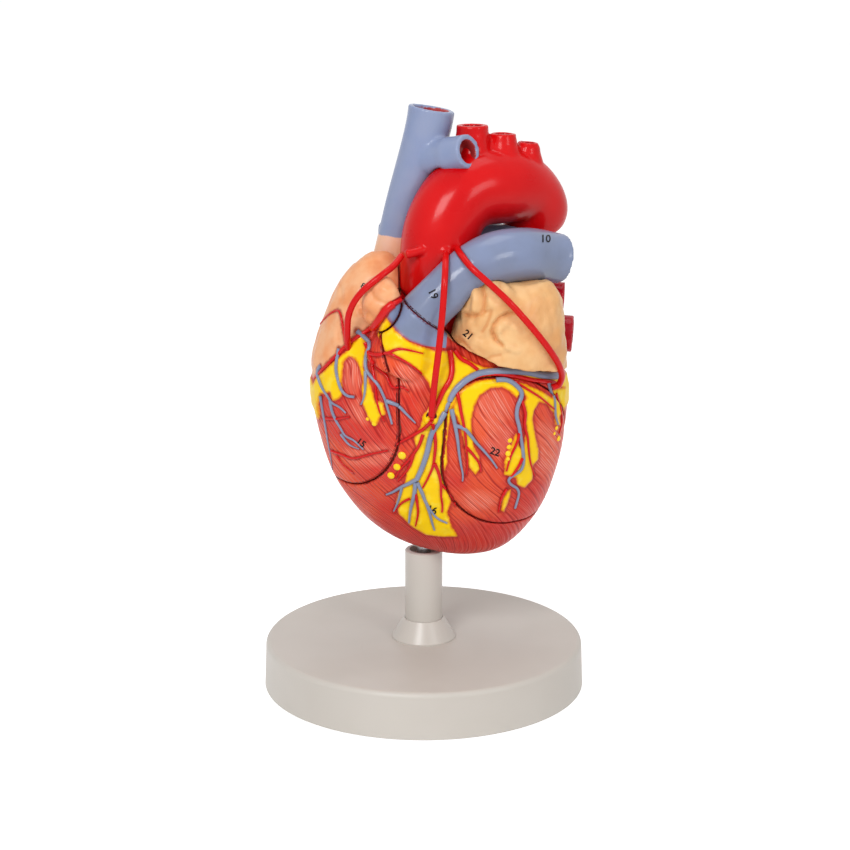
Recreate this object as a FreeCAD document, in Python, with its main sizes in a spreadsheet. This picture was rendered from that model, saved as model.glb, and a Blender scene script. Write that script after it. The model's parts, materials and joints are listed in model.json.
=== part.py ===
import FreeCAD, Part
import math
import os
import Sketcher
from FreeCAD import Placement, Rotation, Vector

# Human heart anatomy model, twice life size, on a round stand.
#
# The heart comes apart into a lower casting with the two ventricles, an upper casting with the
# left atrium and the great vessels, and two front walls that pull away from the chambers.
# Lengths are millimetres. The origin is the centre of the underside, +Z is up and the front of
# the heart faces -Y. Heights in the heart are measured from the top of the column.

doc = FreeCAD.newDocument("HeartModel")
sheet = doc.addObject("Spreadsheet::Sheet", "Sizes")

# ---------------------------------------------------------------- driving dimensions
SIZES = {
    # base: a hollow moulded disc on four rubber feet
    "base_radius": 90, "base_height": 25.8, "base_draft": 1, "base_edge_radius": 3,
    "base_wall": 3, "base_roof": 3.4, "boss_radius": 16, "rib_width": 2.2,
    "rib_count": 8, "rib_height": 12, "foot_radius": 6, "foot_height": 2.6, "foot_proud": 0.4,
    "foot_count": 4, "foot_circle": 77, "foot_wall": 1.6,
    # column, collar, screw and washer
    "column_radius": 10.5, "column_length": 53.4, "column_bore": 8, "column_floor": 14,
    "column_chamfer": 0.6, "column_drop": 1.8, "collar_radius": 18, "collar_height": 11.5, "collar_lip": 0.8,
    "collar_gap": 0.15, "screw_radius": 2.5, "screw_head_radius": 4.6, "screw_head_height": 3.4,
    "screw_bite": 10, "screw_slot": 1.2, "washer_radius": 8, "washer_thickness": 1.6,
    "hole_clearance": 0.3,
    # bearing and rod
    "plug_length": 20, "plug_recess": 3, "plug_floor": 3, "rod_radius": 4, "rod_into_heart": 34,
    "rod_clearance": 0.1, "rod_rest": 0.05, "rod_chamfer": 0.8, "bush_radius": 6, "bush_roof": 2,
    "land_radius": 12.5, "land_level": 0.8,
    # ventricles
    "heart_width": 139.2, "heart_depth": 100, "heart_height": 130.7, "heart_drop": 2.7,
    # fits between the castings
    "seam_gap": 0.3, "seat_gap": 0.42, "pin_radius": 1.6, "pin_length": 10, "pin_gap": 0.3,
    "peg_radius": 3, "peg_length": 12,
    # outline of the right wall, seen along its direction of pull
    "right_turn": -37, "right_depth": 36, "right_left": -90, "right_right": 19,
    "right_bottom": 43.3, "right_top": 155, "right_low_round": 40, "right_high_round": 60,
    "atrium_depth": 12, "atrium_right": 7, "atrium_bottom": 122,
    # outline of the left wall, seen along its direction of pull
    "left_turn": 30, "left_depth": 38, "left_left": -15.8, "left_right": 67,
    "left_bottom": 21.4, "left_top": 107.4, "left_low_round": 45, "left_far_round": 28,
    "left_high_round": 57, "left_near_round": 20,
    # chambers: half sizes across, front to back and upright
    "right_room_across": 19, "right_room_deep": 20, "right_room_high": 30,
    "left_room_across": 21, "left_room_deep": 27, "left_room_high": 37,
    "right_atrium_across": 14, "right_atrium_deep": 19, "right_atrium_high": 15,
    "left_atrium_across": 24, "left_atrium_deep": 19, "left_atrium_high": 18,
    # bores between the chambers, and the valves in them
    "tricuspid_radius": 10, "mitral_radius": 12, "aortic_valve_radius": 9,
    "pulmonary_valve_radius": 8.5, "leaflet_wall": 1.2, "leaflet_drop": 13,
    "leaflet_taper": 3, "leaflet_slit": 1.6, "cusp_height": 5, "cusp_wall": 1,
    "papillary_foot": 5, "papillary_tip": 2.2, "chord_radius": 0.6,
    # vessels
    "aorta_radius": 20.5, "cava_radius": 12.4, "trunk_radius": 14.5, "right_artery_radius": 7.5,
    "bypass_radius": 1.75, "bypass_boss": 3.4, "lower_cava_radius": 9, "lower_cava_bore": 6.4,
}
for row, (name, size) in enumerate(SIZES.items(), 1):
    sheet.set(f"A{row}", name)
    sheet.set(f"B{row}", str(size))
    sheet.setAlias(f"B{row}", name)
doc.recompute()


def size(name):
    return float(sheet.get(name))


# ---------------------------------------------------------------- small helpers
def add(kind, name, **values):
    """Adds an object; a text value becomes a rule on the sheet, anything else is set."""
    thing = doc.addObject(kind, name)
    for prop, value in values.items():
        if isinstance(value, str):
            thing.setExpression(prop, value)
        else:
            setattr(thing, prop, value)
    return thing


def place(thing, x="0", y="0", z="0"):
    for axis, rule in zip("xyz", (x, y, z)):
        thing.setExpression(f"Placement.Base.{axis}", str(rule))
    return thing


def facing(direction):
    """The turn that sends +Z to a direction, with a seam that stays at the back of a vessel."""
    side = Vector(0, 1, 0).cross(direction)
    if side.Length < 0.2:
        side = Vector(1, 0, 0)
    side.normalize()
    return Rotation(side, direction.cross(side), direction, "ZXY")


def cut(name, base, *tools):
    for number, tool in enumerate(tools, 1):
        base = add("Part::Cut", name if number == len(tools) else f"{name}_cut_{number}",
                   Base=base, Tool=tool, Refine=False)
    return base


def fuse(name, *parts):
    return add("Part::MultiFuse", name, Shapes=list(parts), Refine=False)


def common(name, base, tool):
    return add("Part::Common", name, Base=base, Tool=tool, Refine=False)


def level_rings(name, rings):
    """Ellipses at rising heights: height, x, y, half width, half depth, each a rule."""
    made = []
    for number, (height, x, y, across, deep) in enumerate(rings):
        long_way = value_of(across) > value_of(deep)
        ring = add("Part::Ellipse", f"{name}_ring_{number}",
                   MajorRadius=f"({across if long_way else deep}) * 1 mm",
                   MinorRadius=f"({deep if long_way else across}) * 1 mm")
        ring.Placement.Rotation = Rotation(Vector(0, 0, 1), 0 if long_way else 90)
        made.append(place(ring, x, y, height))
    return made


def loft(name, rings):
    return add("Part::Loft", name, Sections=rings, Solid=True, Ruled=False, MaxDegree=3)


def vessel(name, route, radius, shares):
    """A tube through the points of a route; its radius is a sheet value times each share."""
    rings = []
    for number, (here, share) in enumerate(zip(route, shares)):
        ahead = route[min(number + 1, len(route) - 1)] - route[max(number - 1, 0)]
        ring = add("Part::Circle", f"{name}_ring_{number}",
                   Placement=Placement(here, facing(ahead.normalize())),
                   Radius=f"Sizes.{radius} * {share}")
        rings.append(ring)
    return loft(name, rings)


def rod_between(name, start, end, radius):
    along = end - start
    return add("Part::Cylinder", name, Placement=Placement(start, facing(along.normalize())),
               Height=(end - start).Length, Radius=radius)


def ball(name, x, y, z, across, deep, high, turn=0):
    """An egg of three half sizes, lofted through ellipses and turned about +Z."""
    rings = level_rings(name, [
        (f"{z} + {math.sin(math.radians(rise)):.5f} * {high}", x, y,
         f"{across} * {math.cos(math.radians(rise)):.5f}",
         f"{deep} * {math.cos(math.radians(rise)):.5f}") for rise in (-84, -60, -30, 0, 30, 60, 84)])
    for ring in rings:
        ring.Placement.Rotation = Rotation(Vector(0, 0, 1), turn) * ring.Placement.Rotation
    return loft(name, rings)


def plane_of(body, role):
    return next(f for f in body.Origin.OriginFeatures if f.Role == role)


def sketch_in(body, name, role="XZ_Plane"):
    sketch = body.newObject("Sketcher::SketchObject", name)
    sketch.AttachmentSupport = [(plane_of(body, role), "")]
    sketch.MapMode = "FlatFace"
    return sketch


def outline(sketch, corners):
    """A closed outline through corners, each an (x, y) pair of rules on the sheet."""
    spots = [Vector(value_of(x), value_of(y), 0) for x, y in corners]
    count = len(spots)
    for number in range(count):
        sketch.addGeometry(Part.LineSegment(spots[number], spots[(number + 1) % count]), False)
    for number in range(count):
        sketch.addConstraint(
            Sketcher.Constraint("Coincident", number, 2, (number + 1) % count, 1))
    for number, (x, y) in enumerate(corners):
        for way, rule in (("DistanceX", x), ("DistanceY", y)):
            spot = spots[number].x if way == "DistanceX" else spots[number].y
            index = sketch.addConstraint(
                Sketcher.Constraint(way, -1, 1, number, 1, spot))
            sketch.setExpression(f"Constraints[{index}]", rule)


def value_of(rule):
    return float(sheet.evalExpression(str(rule).replace("Sizes.", "")))


def pill(sketch, x, y, radius):
    """A circle at a place given by rules."""
    circle = sketch.addGeometry(
        Part.Circle(Vector(value_of(x), value_of(y), 0), Vector(0, 0, 1), value_of(radius)))
    index = sketch.addConstraint(Sketcher.Constraint("Radius", circle, value_of(radius)))
    sketch.setExpression(f"Constraints[{index}]", radius)
    for way, rule in (("DistanceX", x), ("DistanceY", y)):
        index = sketch.addConstraint(
            Sketcher.Constraint(way, -1, 1, circle, 3, value_of(rule)))
        sketch.setExpression(f"Constraints[{index}]", rule)


def turned(name, corners):
    """A body made by turning an outline, drawn to the right of the axis, about +Z."""
    body = doc.addObject("PartDesign::Body", name)
    profile = sketch_in(body, f"{name}_profile")
    outline(profile, corners)
    turn = body.newObject("PartDesign::Revolution", f"{name}_turn")
    turn.Profile = profile
    turn.ReferenceAxis = (profile, ["V_Axis"])
    turn.Angle = 360
    profile.Visibility = False
    doc.recompute()
    return body


def drill(body, name, role, x, y, radius, depth, start="0", up=True):
    """A round pocket from a level, upwards or downwards."""
    sketch = sketch_in(body, f"{name}_outline", role)
    sketch.setExpression("AttachmentOffset.Base.z", start)
    pill(sketch, x, y, radius)
    before = body.Tip.Shape.Volume
    pocket = body.newObject("PartDesign::Pocket", name)
    pocket.Profile = sketch
    pocket.Reversed = up
    pocket.setExpression("Length", depth)
    doc.recompute()
    if not pocket.Shape.Volume < before:
        print(f"{name} removed nothing")
    return pocket


def spread(body, name, feature, count):
    pattern = body.newObject("PartDesign::PolarPattern", name)
    pattern.Originals = [feature]
    pattern.Axis = (plane_of(body, "Z_Axis"), [""])
    pattern.Angle = 360
    pattern.setExpression("Occurrences", count)
    body.Tip = pattern
    doc.recompute()
    return pattern


NODES = {}


def keep(name, thing, lift="0"):
    """Names a finished piece; the heart's pieces are lifted to the top of the column."""
    thing.Label = name
    if lift != "0":
        place(thing, z=lift)
    NODES[name] = thing


BASE_TOP = "(Sizes.foot_proud + Sizes.base_height)"
COLUMN_TOP = f"({BASE_TOP} + Sizes.column_length)"

# ---------------------------------------------------------------- stand
def make_base():
    inner = "(Sizes.base_radius - Sizes.base_wall)"
    roof = "(Sizes.base_height - Sizes.base_roof)"
    base = turned("base_disc", [
        ("0", "Sizes.washer_thickness + Sizes.screw_head_height + 1"),
        ("Sizes.boss_radius", "Sizes.washer_thickness + Sizes.screw_head_height + 1"),
        ("Sizes.boss_radius", roof), (f"{inner} - Sizes.base_draft", roof), (inner, "0"),
        ("Sizes.base_radius", "0"), ("Sizes.base_radius - Sizes.base_draft", "Sizes.base_height"),
        ("0", "Sizes.base_height")])
    disc = base.Tip
    rim = [f"Edge{number}" for number, edge in enumerate(disc.Shape.Edges, 1)
           if abs(edge.BoundBox.ZMin - size("base_height")) < 1e-6
           and edge.BoundBox.XMax > size("base_radius") / 2
           and edge.BoundBox.XLength > size("base_radius")]
    rounding = base.newObject("PartDesign::Fillet", "base_rounding")
    rounding.Base = (disc, rim)
    rounding.setExpression("Radius", "Sizes.base_edge_radius")
    doc.recompute()

    ribs = sketch_in(base, "rib_outline", "XY_Plane")
    ribs.setExpression("AttachmentOffset.Base.z", f"{roof} - Sizes.rib_height")
    half = "Sizes.rib_width / 2"
    outline(ribs, [("Sizes.boss_radius - 1", f"-{half}"), (f"{inner} - 0.2", f"-{half}"),
                   (f"{inner} - 0.2", half), ("Sizes.boss_radius - 1", half)])
    rib = base.newObject("PartDesign::Pad", "rib")
    rib.Profile = ribs
    rib.setExpression("Length", "Sizes.rib_height")
    doc.recompute()
    spread(base, "ribs", rib, "Sizes.rib_count")

    seat = sketch_in(base, "foot_seat_outline", "XY_Plane")
    angle = math.pi / size("foot_count")
    across, along = math.cos(angle), math.sin(angle)
    spot = (f"Sizes.foot_circle * {across:.6f}", f"Sizes.foot_circle * {along:.6f}")
    pill(seat, *spot, "Sizes.foot_radius + Sizes.foot_wall")
    boss = base.newObject("PartDesign::Pad", "foot_seat")
    boss.Profile = seat
    boss.setExpression("Length", roof)
    doc.recompute()
    spread(base, "foot_seats", boss, "Sizes.foot_count")
    pocket = drill(base, "foot_pocket", "XY_Plane", *spot, "Sizes.foot_radius",
                   "Sizes.foot_height - Sizes.foot_proud")
    spread(base, "foot_pockets", pocket, "Sizes.foot_count")
    drill(base, "screw_hole", "XY_Plane", "0", "0", "Sizes.screw_radius + Sizes.hole_clearance",
          "Sizes.base_height * 2")
    place(base, z="Sizes.foot_proud")
    keep("base_disc", base)

    pads = []
    for number in range(int(size("foot_count"))):
        around = angle * (1 + 2 * number)
        pad = add("Part::Cylinder", f"foot_{number}", Radius="Sizes.foot_radius",
                  Height="Sizes.foot_height")
        pads.append(place(pad, f"Sizes.foot_circle * {math.cos(around):.6f}",
                          f"Sizes.foot_circle * {math.sin(around):.6f}"))
    keep("base_feet", add("Part::Compound", "base_feet", Links=pads))


def make_column():
    rim = "Sizes.column_length - Sizes.column_drop"     # the heart's underside clears the rim
    tube = turned("column_tube", [
        ("0", "0"), ("Sizes.column_radius", "0"),
        ("Sizes.column_radius", f"{rim} - Sizes.column_chamfer"),
        ("Sizes.column_radius - Sizes.column_chamfer", rim),
        ("Sizes.column_bore", rim), ("Sizes.column_bore", "Sizes.column_floor"),
        ("0", "Sizes.column_floor")])
    drill(tube, "screw_thread", "XY_Plane", "0", "0", "Sizes.screw_radius",
          "Sizes.screw_bite + 1")
    place(tube, z=BASE_TOP)
    keep("column_tube", tube)

    bore = "(Sizes.column_radius + Sizes.collar_gap)"
    collar = turned("column_collar", [
        (bore, "0"), ("Sizes.collar_radius", "0"), ("Sizes.collar_radius", "Sizes.collar_lip"),
        (f"{bore} + Sizes.collar_lip", "Sizes.collar_height"), (bore, "Sizes.collar_height")])
    place(collar, z=BASE_TOP)
    keep("column_collar", collar)

    washer = turned("base_washer", [
        ("Sizes.screw_radius + Sizes.hole_clearance", "0"), ("Sizes.washer_radius", "0"),
        ("Sizes.washer_radius", "Sizes.washer_thickness"),
        ("Sizes.screw_radius + Sizes.hole_clearance", "Sizes.washer_thickness")])
    place(washer, z="Sizes.foot_proud + 1 + Sizes.screw_head_height")
    keep("base_washer", washer)

    shank = "(Sizes.screw_head_height + Sizes.washer_thickness + Sizes.base_height - "
    shank += "(Sizes.washer_thickness + Sizes.screw_head_height + 1) + Sizes.screw_bite)"
    screw = turned("base_screw", [
        ("0", "0"), ("Sizes.screw_head_radius", "0"),
        ("Sizes.screw_head_radius", "Sizes.screw_head_height"),
        ("Sizes.screw_radius", "Sizes.screw_head_height"), ("Sizes.screw_radius", shank),
        ("0", shank)])
    slot = sketch_in(screw, "screw_slot_outline", "XY_Plane")
    outline(slot, [("-Sizes.screw_head_radius", "-Sizes.screw_slot / 2"),
                   ("Sizes.screw_head_radius", "-Sizes.screw_slot / 2"),
                   ("Sizes.screw_head_radius", "Sizes.screw_slot / 2"),
                   ("-Sizes.screw_head_radius", "Sizes.screw_slot / 2")])
    groove = screw.newObject("PartDesign::Pocket", "screw_slot_cut")
    groove.Profile = slot
    groove.Reversed = True
    groove.setExpression("Length", "Sizes.screw_head_height / 2")
    doc.recompute()
    place(screw, z="Sizes.foot_proud + 1")
    keep("base_screw", screw)

    plug = turned("column_plug", [
        ("0", "0"), ("Sizes.column_bore", "0"), ("Sizes.column_bore", "Sizes.plug_length"),
        ("Sizes.rod_radius + Sizes.rod_clearance", "Sizes.plug_length"),
        ("Sizes.rod_radius + Sizes.rod_clearance", "Sizes.plug_floor"),
        ("0", "Sizes.plug_floor")])
    place(plug, z=f"{COLUMN_TOP} - Sizes.column_drop - Sizes.plug_recess - Sizes.plug_length")
    keep("column_plug", plug)

    start = "(Sizes.column_drop + Sizes.plug_recess + Sizes.plug_length - Sizes.plug_floor"
    start += " - Sizes.rod_rest)"
    length = f"({start} + Sizes.rod_into_heart - Sizes.rod_rest)"
    rod = turned("support_rod", [
        ("0", "0"), ("Sizes.rod_radius", "0"), ("Sizes.rod_radius", f"{length} - Sizes.rod_chamfer"),
        ("Sizes.rod_radius - Sizes.rod_chamfer", length), ("0", length)])
    place(rod, z=f"{COLUMN_TOP} - {start}")
    keep("support_rod", rod)


# ---------------------------------------------------------------- forms of the heart
def off_middle(share, y, z):
    """A place whose distance to the side is a share of the width of the heart."""
    return Vector(share * size("heart_width"), y, z)


def ventricle_form():
    """Rings of the ventricles: rise, place and half width, and half depth, each as a share."""
    rings = [(0, 0.165, 0.04, 0.035), (0.022, 0.155, 0.145, 0.125),
             (0.105, 0.118, 0.278, 0.245), (0.29, 0.089, 0.412, 0.385),
             (0.56, 0.0695, 0.489, 0.485), (0.81, 0.0575, 0.4935, 0.495),
             (0.93, 0.04, 0.42, 0.42), (1, 0.03, 0.28, 0.28)]
    return loft("ventricles", level_rings("ventricles", [
        (f"Sizes.heart_height * {rise} - Sizes.heart_drop", f"Sizes.heart_width * {x}", "-2",
         f"Sizes.heart_width * {half}", f"Sizes.heart_depth * {deep}")
        for rise, x, half, deep in rings]))


def atrium_form():
    """The right atrium, a leaning dome, with its long half size from front to back."""
    rings = [(98, -36, -4, 22, 27), (112, -35.5, -5, 25.5, 30), (128, -32.5, -5, 23.5, 29),
             (142, -30, -5, 20.5, 25), (156, -26.5, -5, 16, 19), (164.5, -24.5, -5, 9.5, 12),
             (168, -24, -5, 3.5, 4.5)]
    made = []
    for number, (height, x, y, across, deep) in enumerate(rings):
        ring = add("Part::Ellipse", f"atrium_ring_{number}", MajorRadius=deep,
                   MinorRadius=across)
        ring.Placement = Placement(Vector(x, y, height), Rotation(Vector(0, 0, 1), 90))
        made.append(ring)
    return loft("right_atrium_form", made)


def box(name, low, high, turn=0):
    spread_of = high - low
    around = Rotation(Vector(0, 0, 1), turn)
    return add("Part::Box", name, Length=spread_of.x, Width=spread_of.y, Height=spread_of.z,
               Placement=Placement(around * low, around))


SEAT = [(-140, 150), (-13.2, 150), (7, 134), (16.4, 125), (40, 114), (77, 108), (140, 108)]
BELOW_HEART, ABOVE_HEART = "-60", "260"


def seat_zone(name, gap, far, line=SEAT):
    """The space above or below the stepped joint between the two castings."""
    body = doc.addObject("PartDesign::Body", name)
    sketch = sketch_in(body, f"{name}_outline")
    corners = [(str(x), f"{z} + {gap}") for x, z in line]
    corners += [(str(line[-1][0]), far), (str(line[0][0]), far)]
    outline(sketch, corners)
    pad = body.newObject("PartDesign::Pad", f"{name}_pad")
    pad.Profile = sketch
    pad.SideType = "Symmetric"
    pad.Length = 300
    doc.recompute()
    return body


def window(name, side, rounds, grow):
    """The prism that frees a front wall: a rounded outline drawn across its pull."""
    body = doc.addObject("PartDesign::Body", name)
    sketch = sketch_in(body, f"{name}_outline")
    sketch.setExpression("AttachmentOffset.Base.z", f"Sizes.{side}_depth - {grow}")
    edges = {edge: f"Sizes.{side}_{edge} {sign} {grow}" for edge, sign in
             (("left", "-"), ("right", "+"), ("bottom", "-"), ("top", "+"))}
    left, right, bottom, top = (value_of(edges[e]) for e in ("left", "right", "bottom", "top"))
    radii = [value_of(f"{rule} + {grow}") for rule in rounds]
    low_left, low_right, high_right, high_left = radii
    spots = [(left + low_left, bottom), (right - low_right, bottom), (right, bottom + low_right),
             (right, top - high_right), (right - high_right, top), (left + high_left, top),
             (left, top - high_left), (left, bottom + low_left)]
    centres = [(right - low_right, bottom + low_right), (right - high_right, top - high_right),
               (left + high_left, top - high_left), (left + low_left, bottom + low_left)]
    arc_radii = [low_right, high_right, high_left, low_left]
    for side_number in range(4):
        start, end = spots[2 * side_number], spots[2 * side_number + 1]
        sketch.addGeometry(Part.LineSegment(Vector(*start, 0), Vector(*end, 0)), False)
        first = (side_number - 1) * math.pi / 2
        ring = Part.Circle(Vector(*centres[side_number], 0), Vector(0, 0, 1),
                           arc_radii[side_number])
        sketch.addGeometry(Part.ArcOfCircle(ring, first, first + math.pi / 2), False)
    for number in range(8):
        sketch.addConstraint(Sketcher.Constraint("Tangent", number, 2, (number + 1) % 8, 1))
    for number, way in enumerate(("Horizontal", "Vertical", "Horizontal", "Vertical")):
        sketch.addConstraint(Sketcher.Constraint(way, 2 * number))
    for number, rule in enumerate([rounds[1], rounds[2], rounds[3], rounds[0]]):
        index = sketch.addConstraint(
            Sketcher.Constraint("Radius", 2 * number + 1, arc_radii[number]))
        sketch.setExpression(f"Constraints[{index}]", f"{rule} + {grow}")
    for way, number, edge, value in (("DistanceY", 0, "bottom", bottom),
                                     ("DistanceX", 2, "right", right),
                                     ("DistanceY", 4, "top", top),
                                     ("DistanceX", 6, "left", left)):
        index = sketch.addConstraint(Sketcher.Constraint(way, -1, 1, number, 1, value))
        sketch.setExpression(f"Constraints[{index}]", edges[edge])
    pad = body.newObject("PartDesign::Pad", f"{name}_pad")
    pad.Profile = sketch
    pad.Length = 120
    body.Placement = Placement(Vector(), Rotation(Vector(0, 0, 1), size(f"{side}_turn")))
    doc.recompute()
    return body


def atrium_window(name, grow):
    """The prism that frees the front of the right atrium, along the same pull."""
    body = doc.addObject("PartDesign::Body", name)
    sketch = sketch_in(body, f"{name}_outline")
    sketch.setExpression("AttachmentOffset.Base.z", f"Sizes.atrium_depth - {grow}")
    left, right = f"Sizes.right_left - {grow}", f"Sizes.atrium_right + {grow}"
    bottom = f"Sizes.atrium_bottom - {grow}"
    outline(sketch, [(left, bottom), (right, bottom), (right, "220"), (left, "220")])
    pad = body.newObject("PartDesign::Pad", f"{name}_pad")
    pad.Profile = sketch
    pad.Length = 120
    body.Placement = Placement(Vector(), Rotation(Vector(0, 0, 1), size("right_turn")))
    beside = add("Part::Box", f"{name}_side", Length=100, Width=200, Height=200)
    place(beside, f"{SEAT[1][0]} + {grow}", "-100", "100")
    doc.recompute()
    return cut(f"{name}_trimmed", body, beside)


def pull(side):
    """Unit direction in which a front wall comes away."""
    angle = math.radians(size(f"{side}_turn"))
    return Vector(math.sin(angle), -math.cos(angle), 0)


def across(side):
    angle = math.radians(size(f"{side}_turn"))
    return Vector(math.cos(angle), math.sin(angle), 0)


# ---------------------------------------------------------------- routes of the vessels
AORTA = [Vector(3, -13, 126), Vector(6.5, -13, 150), Vector(7, -13, 166), Vector(11, -11, 184),
         Vector(21, -6, 198), Vector(36, 2, 202), Vector(50, 12, 200), Vector(59, 20, 192),
         Vector(61, 26, 178)]
AORTA_SHARES = [0.93, 0.95, 0.97, 1, 1, 1, 0.95, 0.88, 0.8]
CAVA = [Vector(-18.5, 11, 150), Vector(-14.4, 9, 174), Vector(-11, 8, 188),
        Vector(-6.8, 7, 202), Vector(-1.8, 6, 218), Vector(2.2, 6, 232), Vector(4.2, 6, 243.5)]
CAVA_SHARES = [1, 0.85, 0.85, 0.9, 0.95, 0.99, 1.01]
TRUNK = [Vector(-13, -34, 112), Vector(-6, -37, 130), Vector(-0.9, -38, 139.2),
         Vector(12.3, -37, 153), Vector(27, -33, 164), Vector(45.7, -25, 169),
         Vector(61, -13, 167), Vector(73.5, -6, 164)]
TRUNK_SHARES = [1.35, 1.08, 0.91, 0.88, 0.95, 1, 0.98, 0.92]
RIGHT_PULMONARY = [Vector(52, -2, 170), Vector(43, 9, 171), Vector(26, 18, 172),
                   Vector(4, 23, 172.5), Vector(-24, 28, 171)]
RIGHT_PULMONARY_SHARES = [1.2, 1.2, 1.1, 1, 0.95]
AORTIC_BORE = (Vector(19, -8, 76), Vector(6, -13, 150))
PULMONARY_BORE = (Vector(-16, -21, 82), Vector(1, -35, 142))
BRANCHES = [("arch_branch_1", Vector(26, 1, 205), Vector(26, 1, 235), 8.6),
            ("arch_branch_2", Vector(42, 5, 208), Vector(42.6, 5.5, 230), 7),
            ("arch_branch_3", Vector(54.5, 12, 200), Vector(56.5, 12.5, 224.5), 5.6)]
BRANCH_BORE_SHARE, BRANCH_BORE_DEPTH = 0.62, 3
ARCH_WEBS = [("arch_web_1", 34.5, 3, 212, 8, 7.5, 15.5),
             ("arch_web_2", 49.5, 9, 208, 7.5, 7, 13)]
ARCH_INLET = ("aortic_inlet", Vector(7.5, -12.5, 132), Vector(7, -13, 160), 10)
TRUNK_INLET = ("trunk_inlet", Vector(-4.6, -37.8, 135), Vector(9, -38, 150.5), 8.5)
TRUNK_MOUTH = ("trunk_end", Vector(70, -8, 165), Vector(77, -4, 163), 9.6)
CAVA_BRANCH = ("cava_branch", Vector(1, 3, 216), Vector(23.6, -16.2, 223.2), 9.2)
CAVA_MOUTHS = [("cava_lumen", Vector(3, 6, 238), Vector(4.4, 6, 246), 9.6),
               ("branch_lumen", Vector(17, -10.6, 221.1), Vector(25, -17.4, 223.7), 6.4)]
VEINS = [("left_vein_upper", Vector(56, 10, 141), Vector(77, 8, 140), 8.4),
         ("left_vein_lower", Vector(56, 12, 121), Vector(82, 9, 119.5), 10),
         ("right_vein_upper", Vector(2, 30, 146), Vector(-22, 46, 148), 8)]
VEIN_WALL, VEIN_BORE_DEPTH = 2.6, 4
LEFT_LOBE, LEFT_LOBE_TURN = (36, -40, 141, 16.5, 12, 18), -10
LEFT_ATRIUM_AT = (41, 9, 124)


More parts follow.
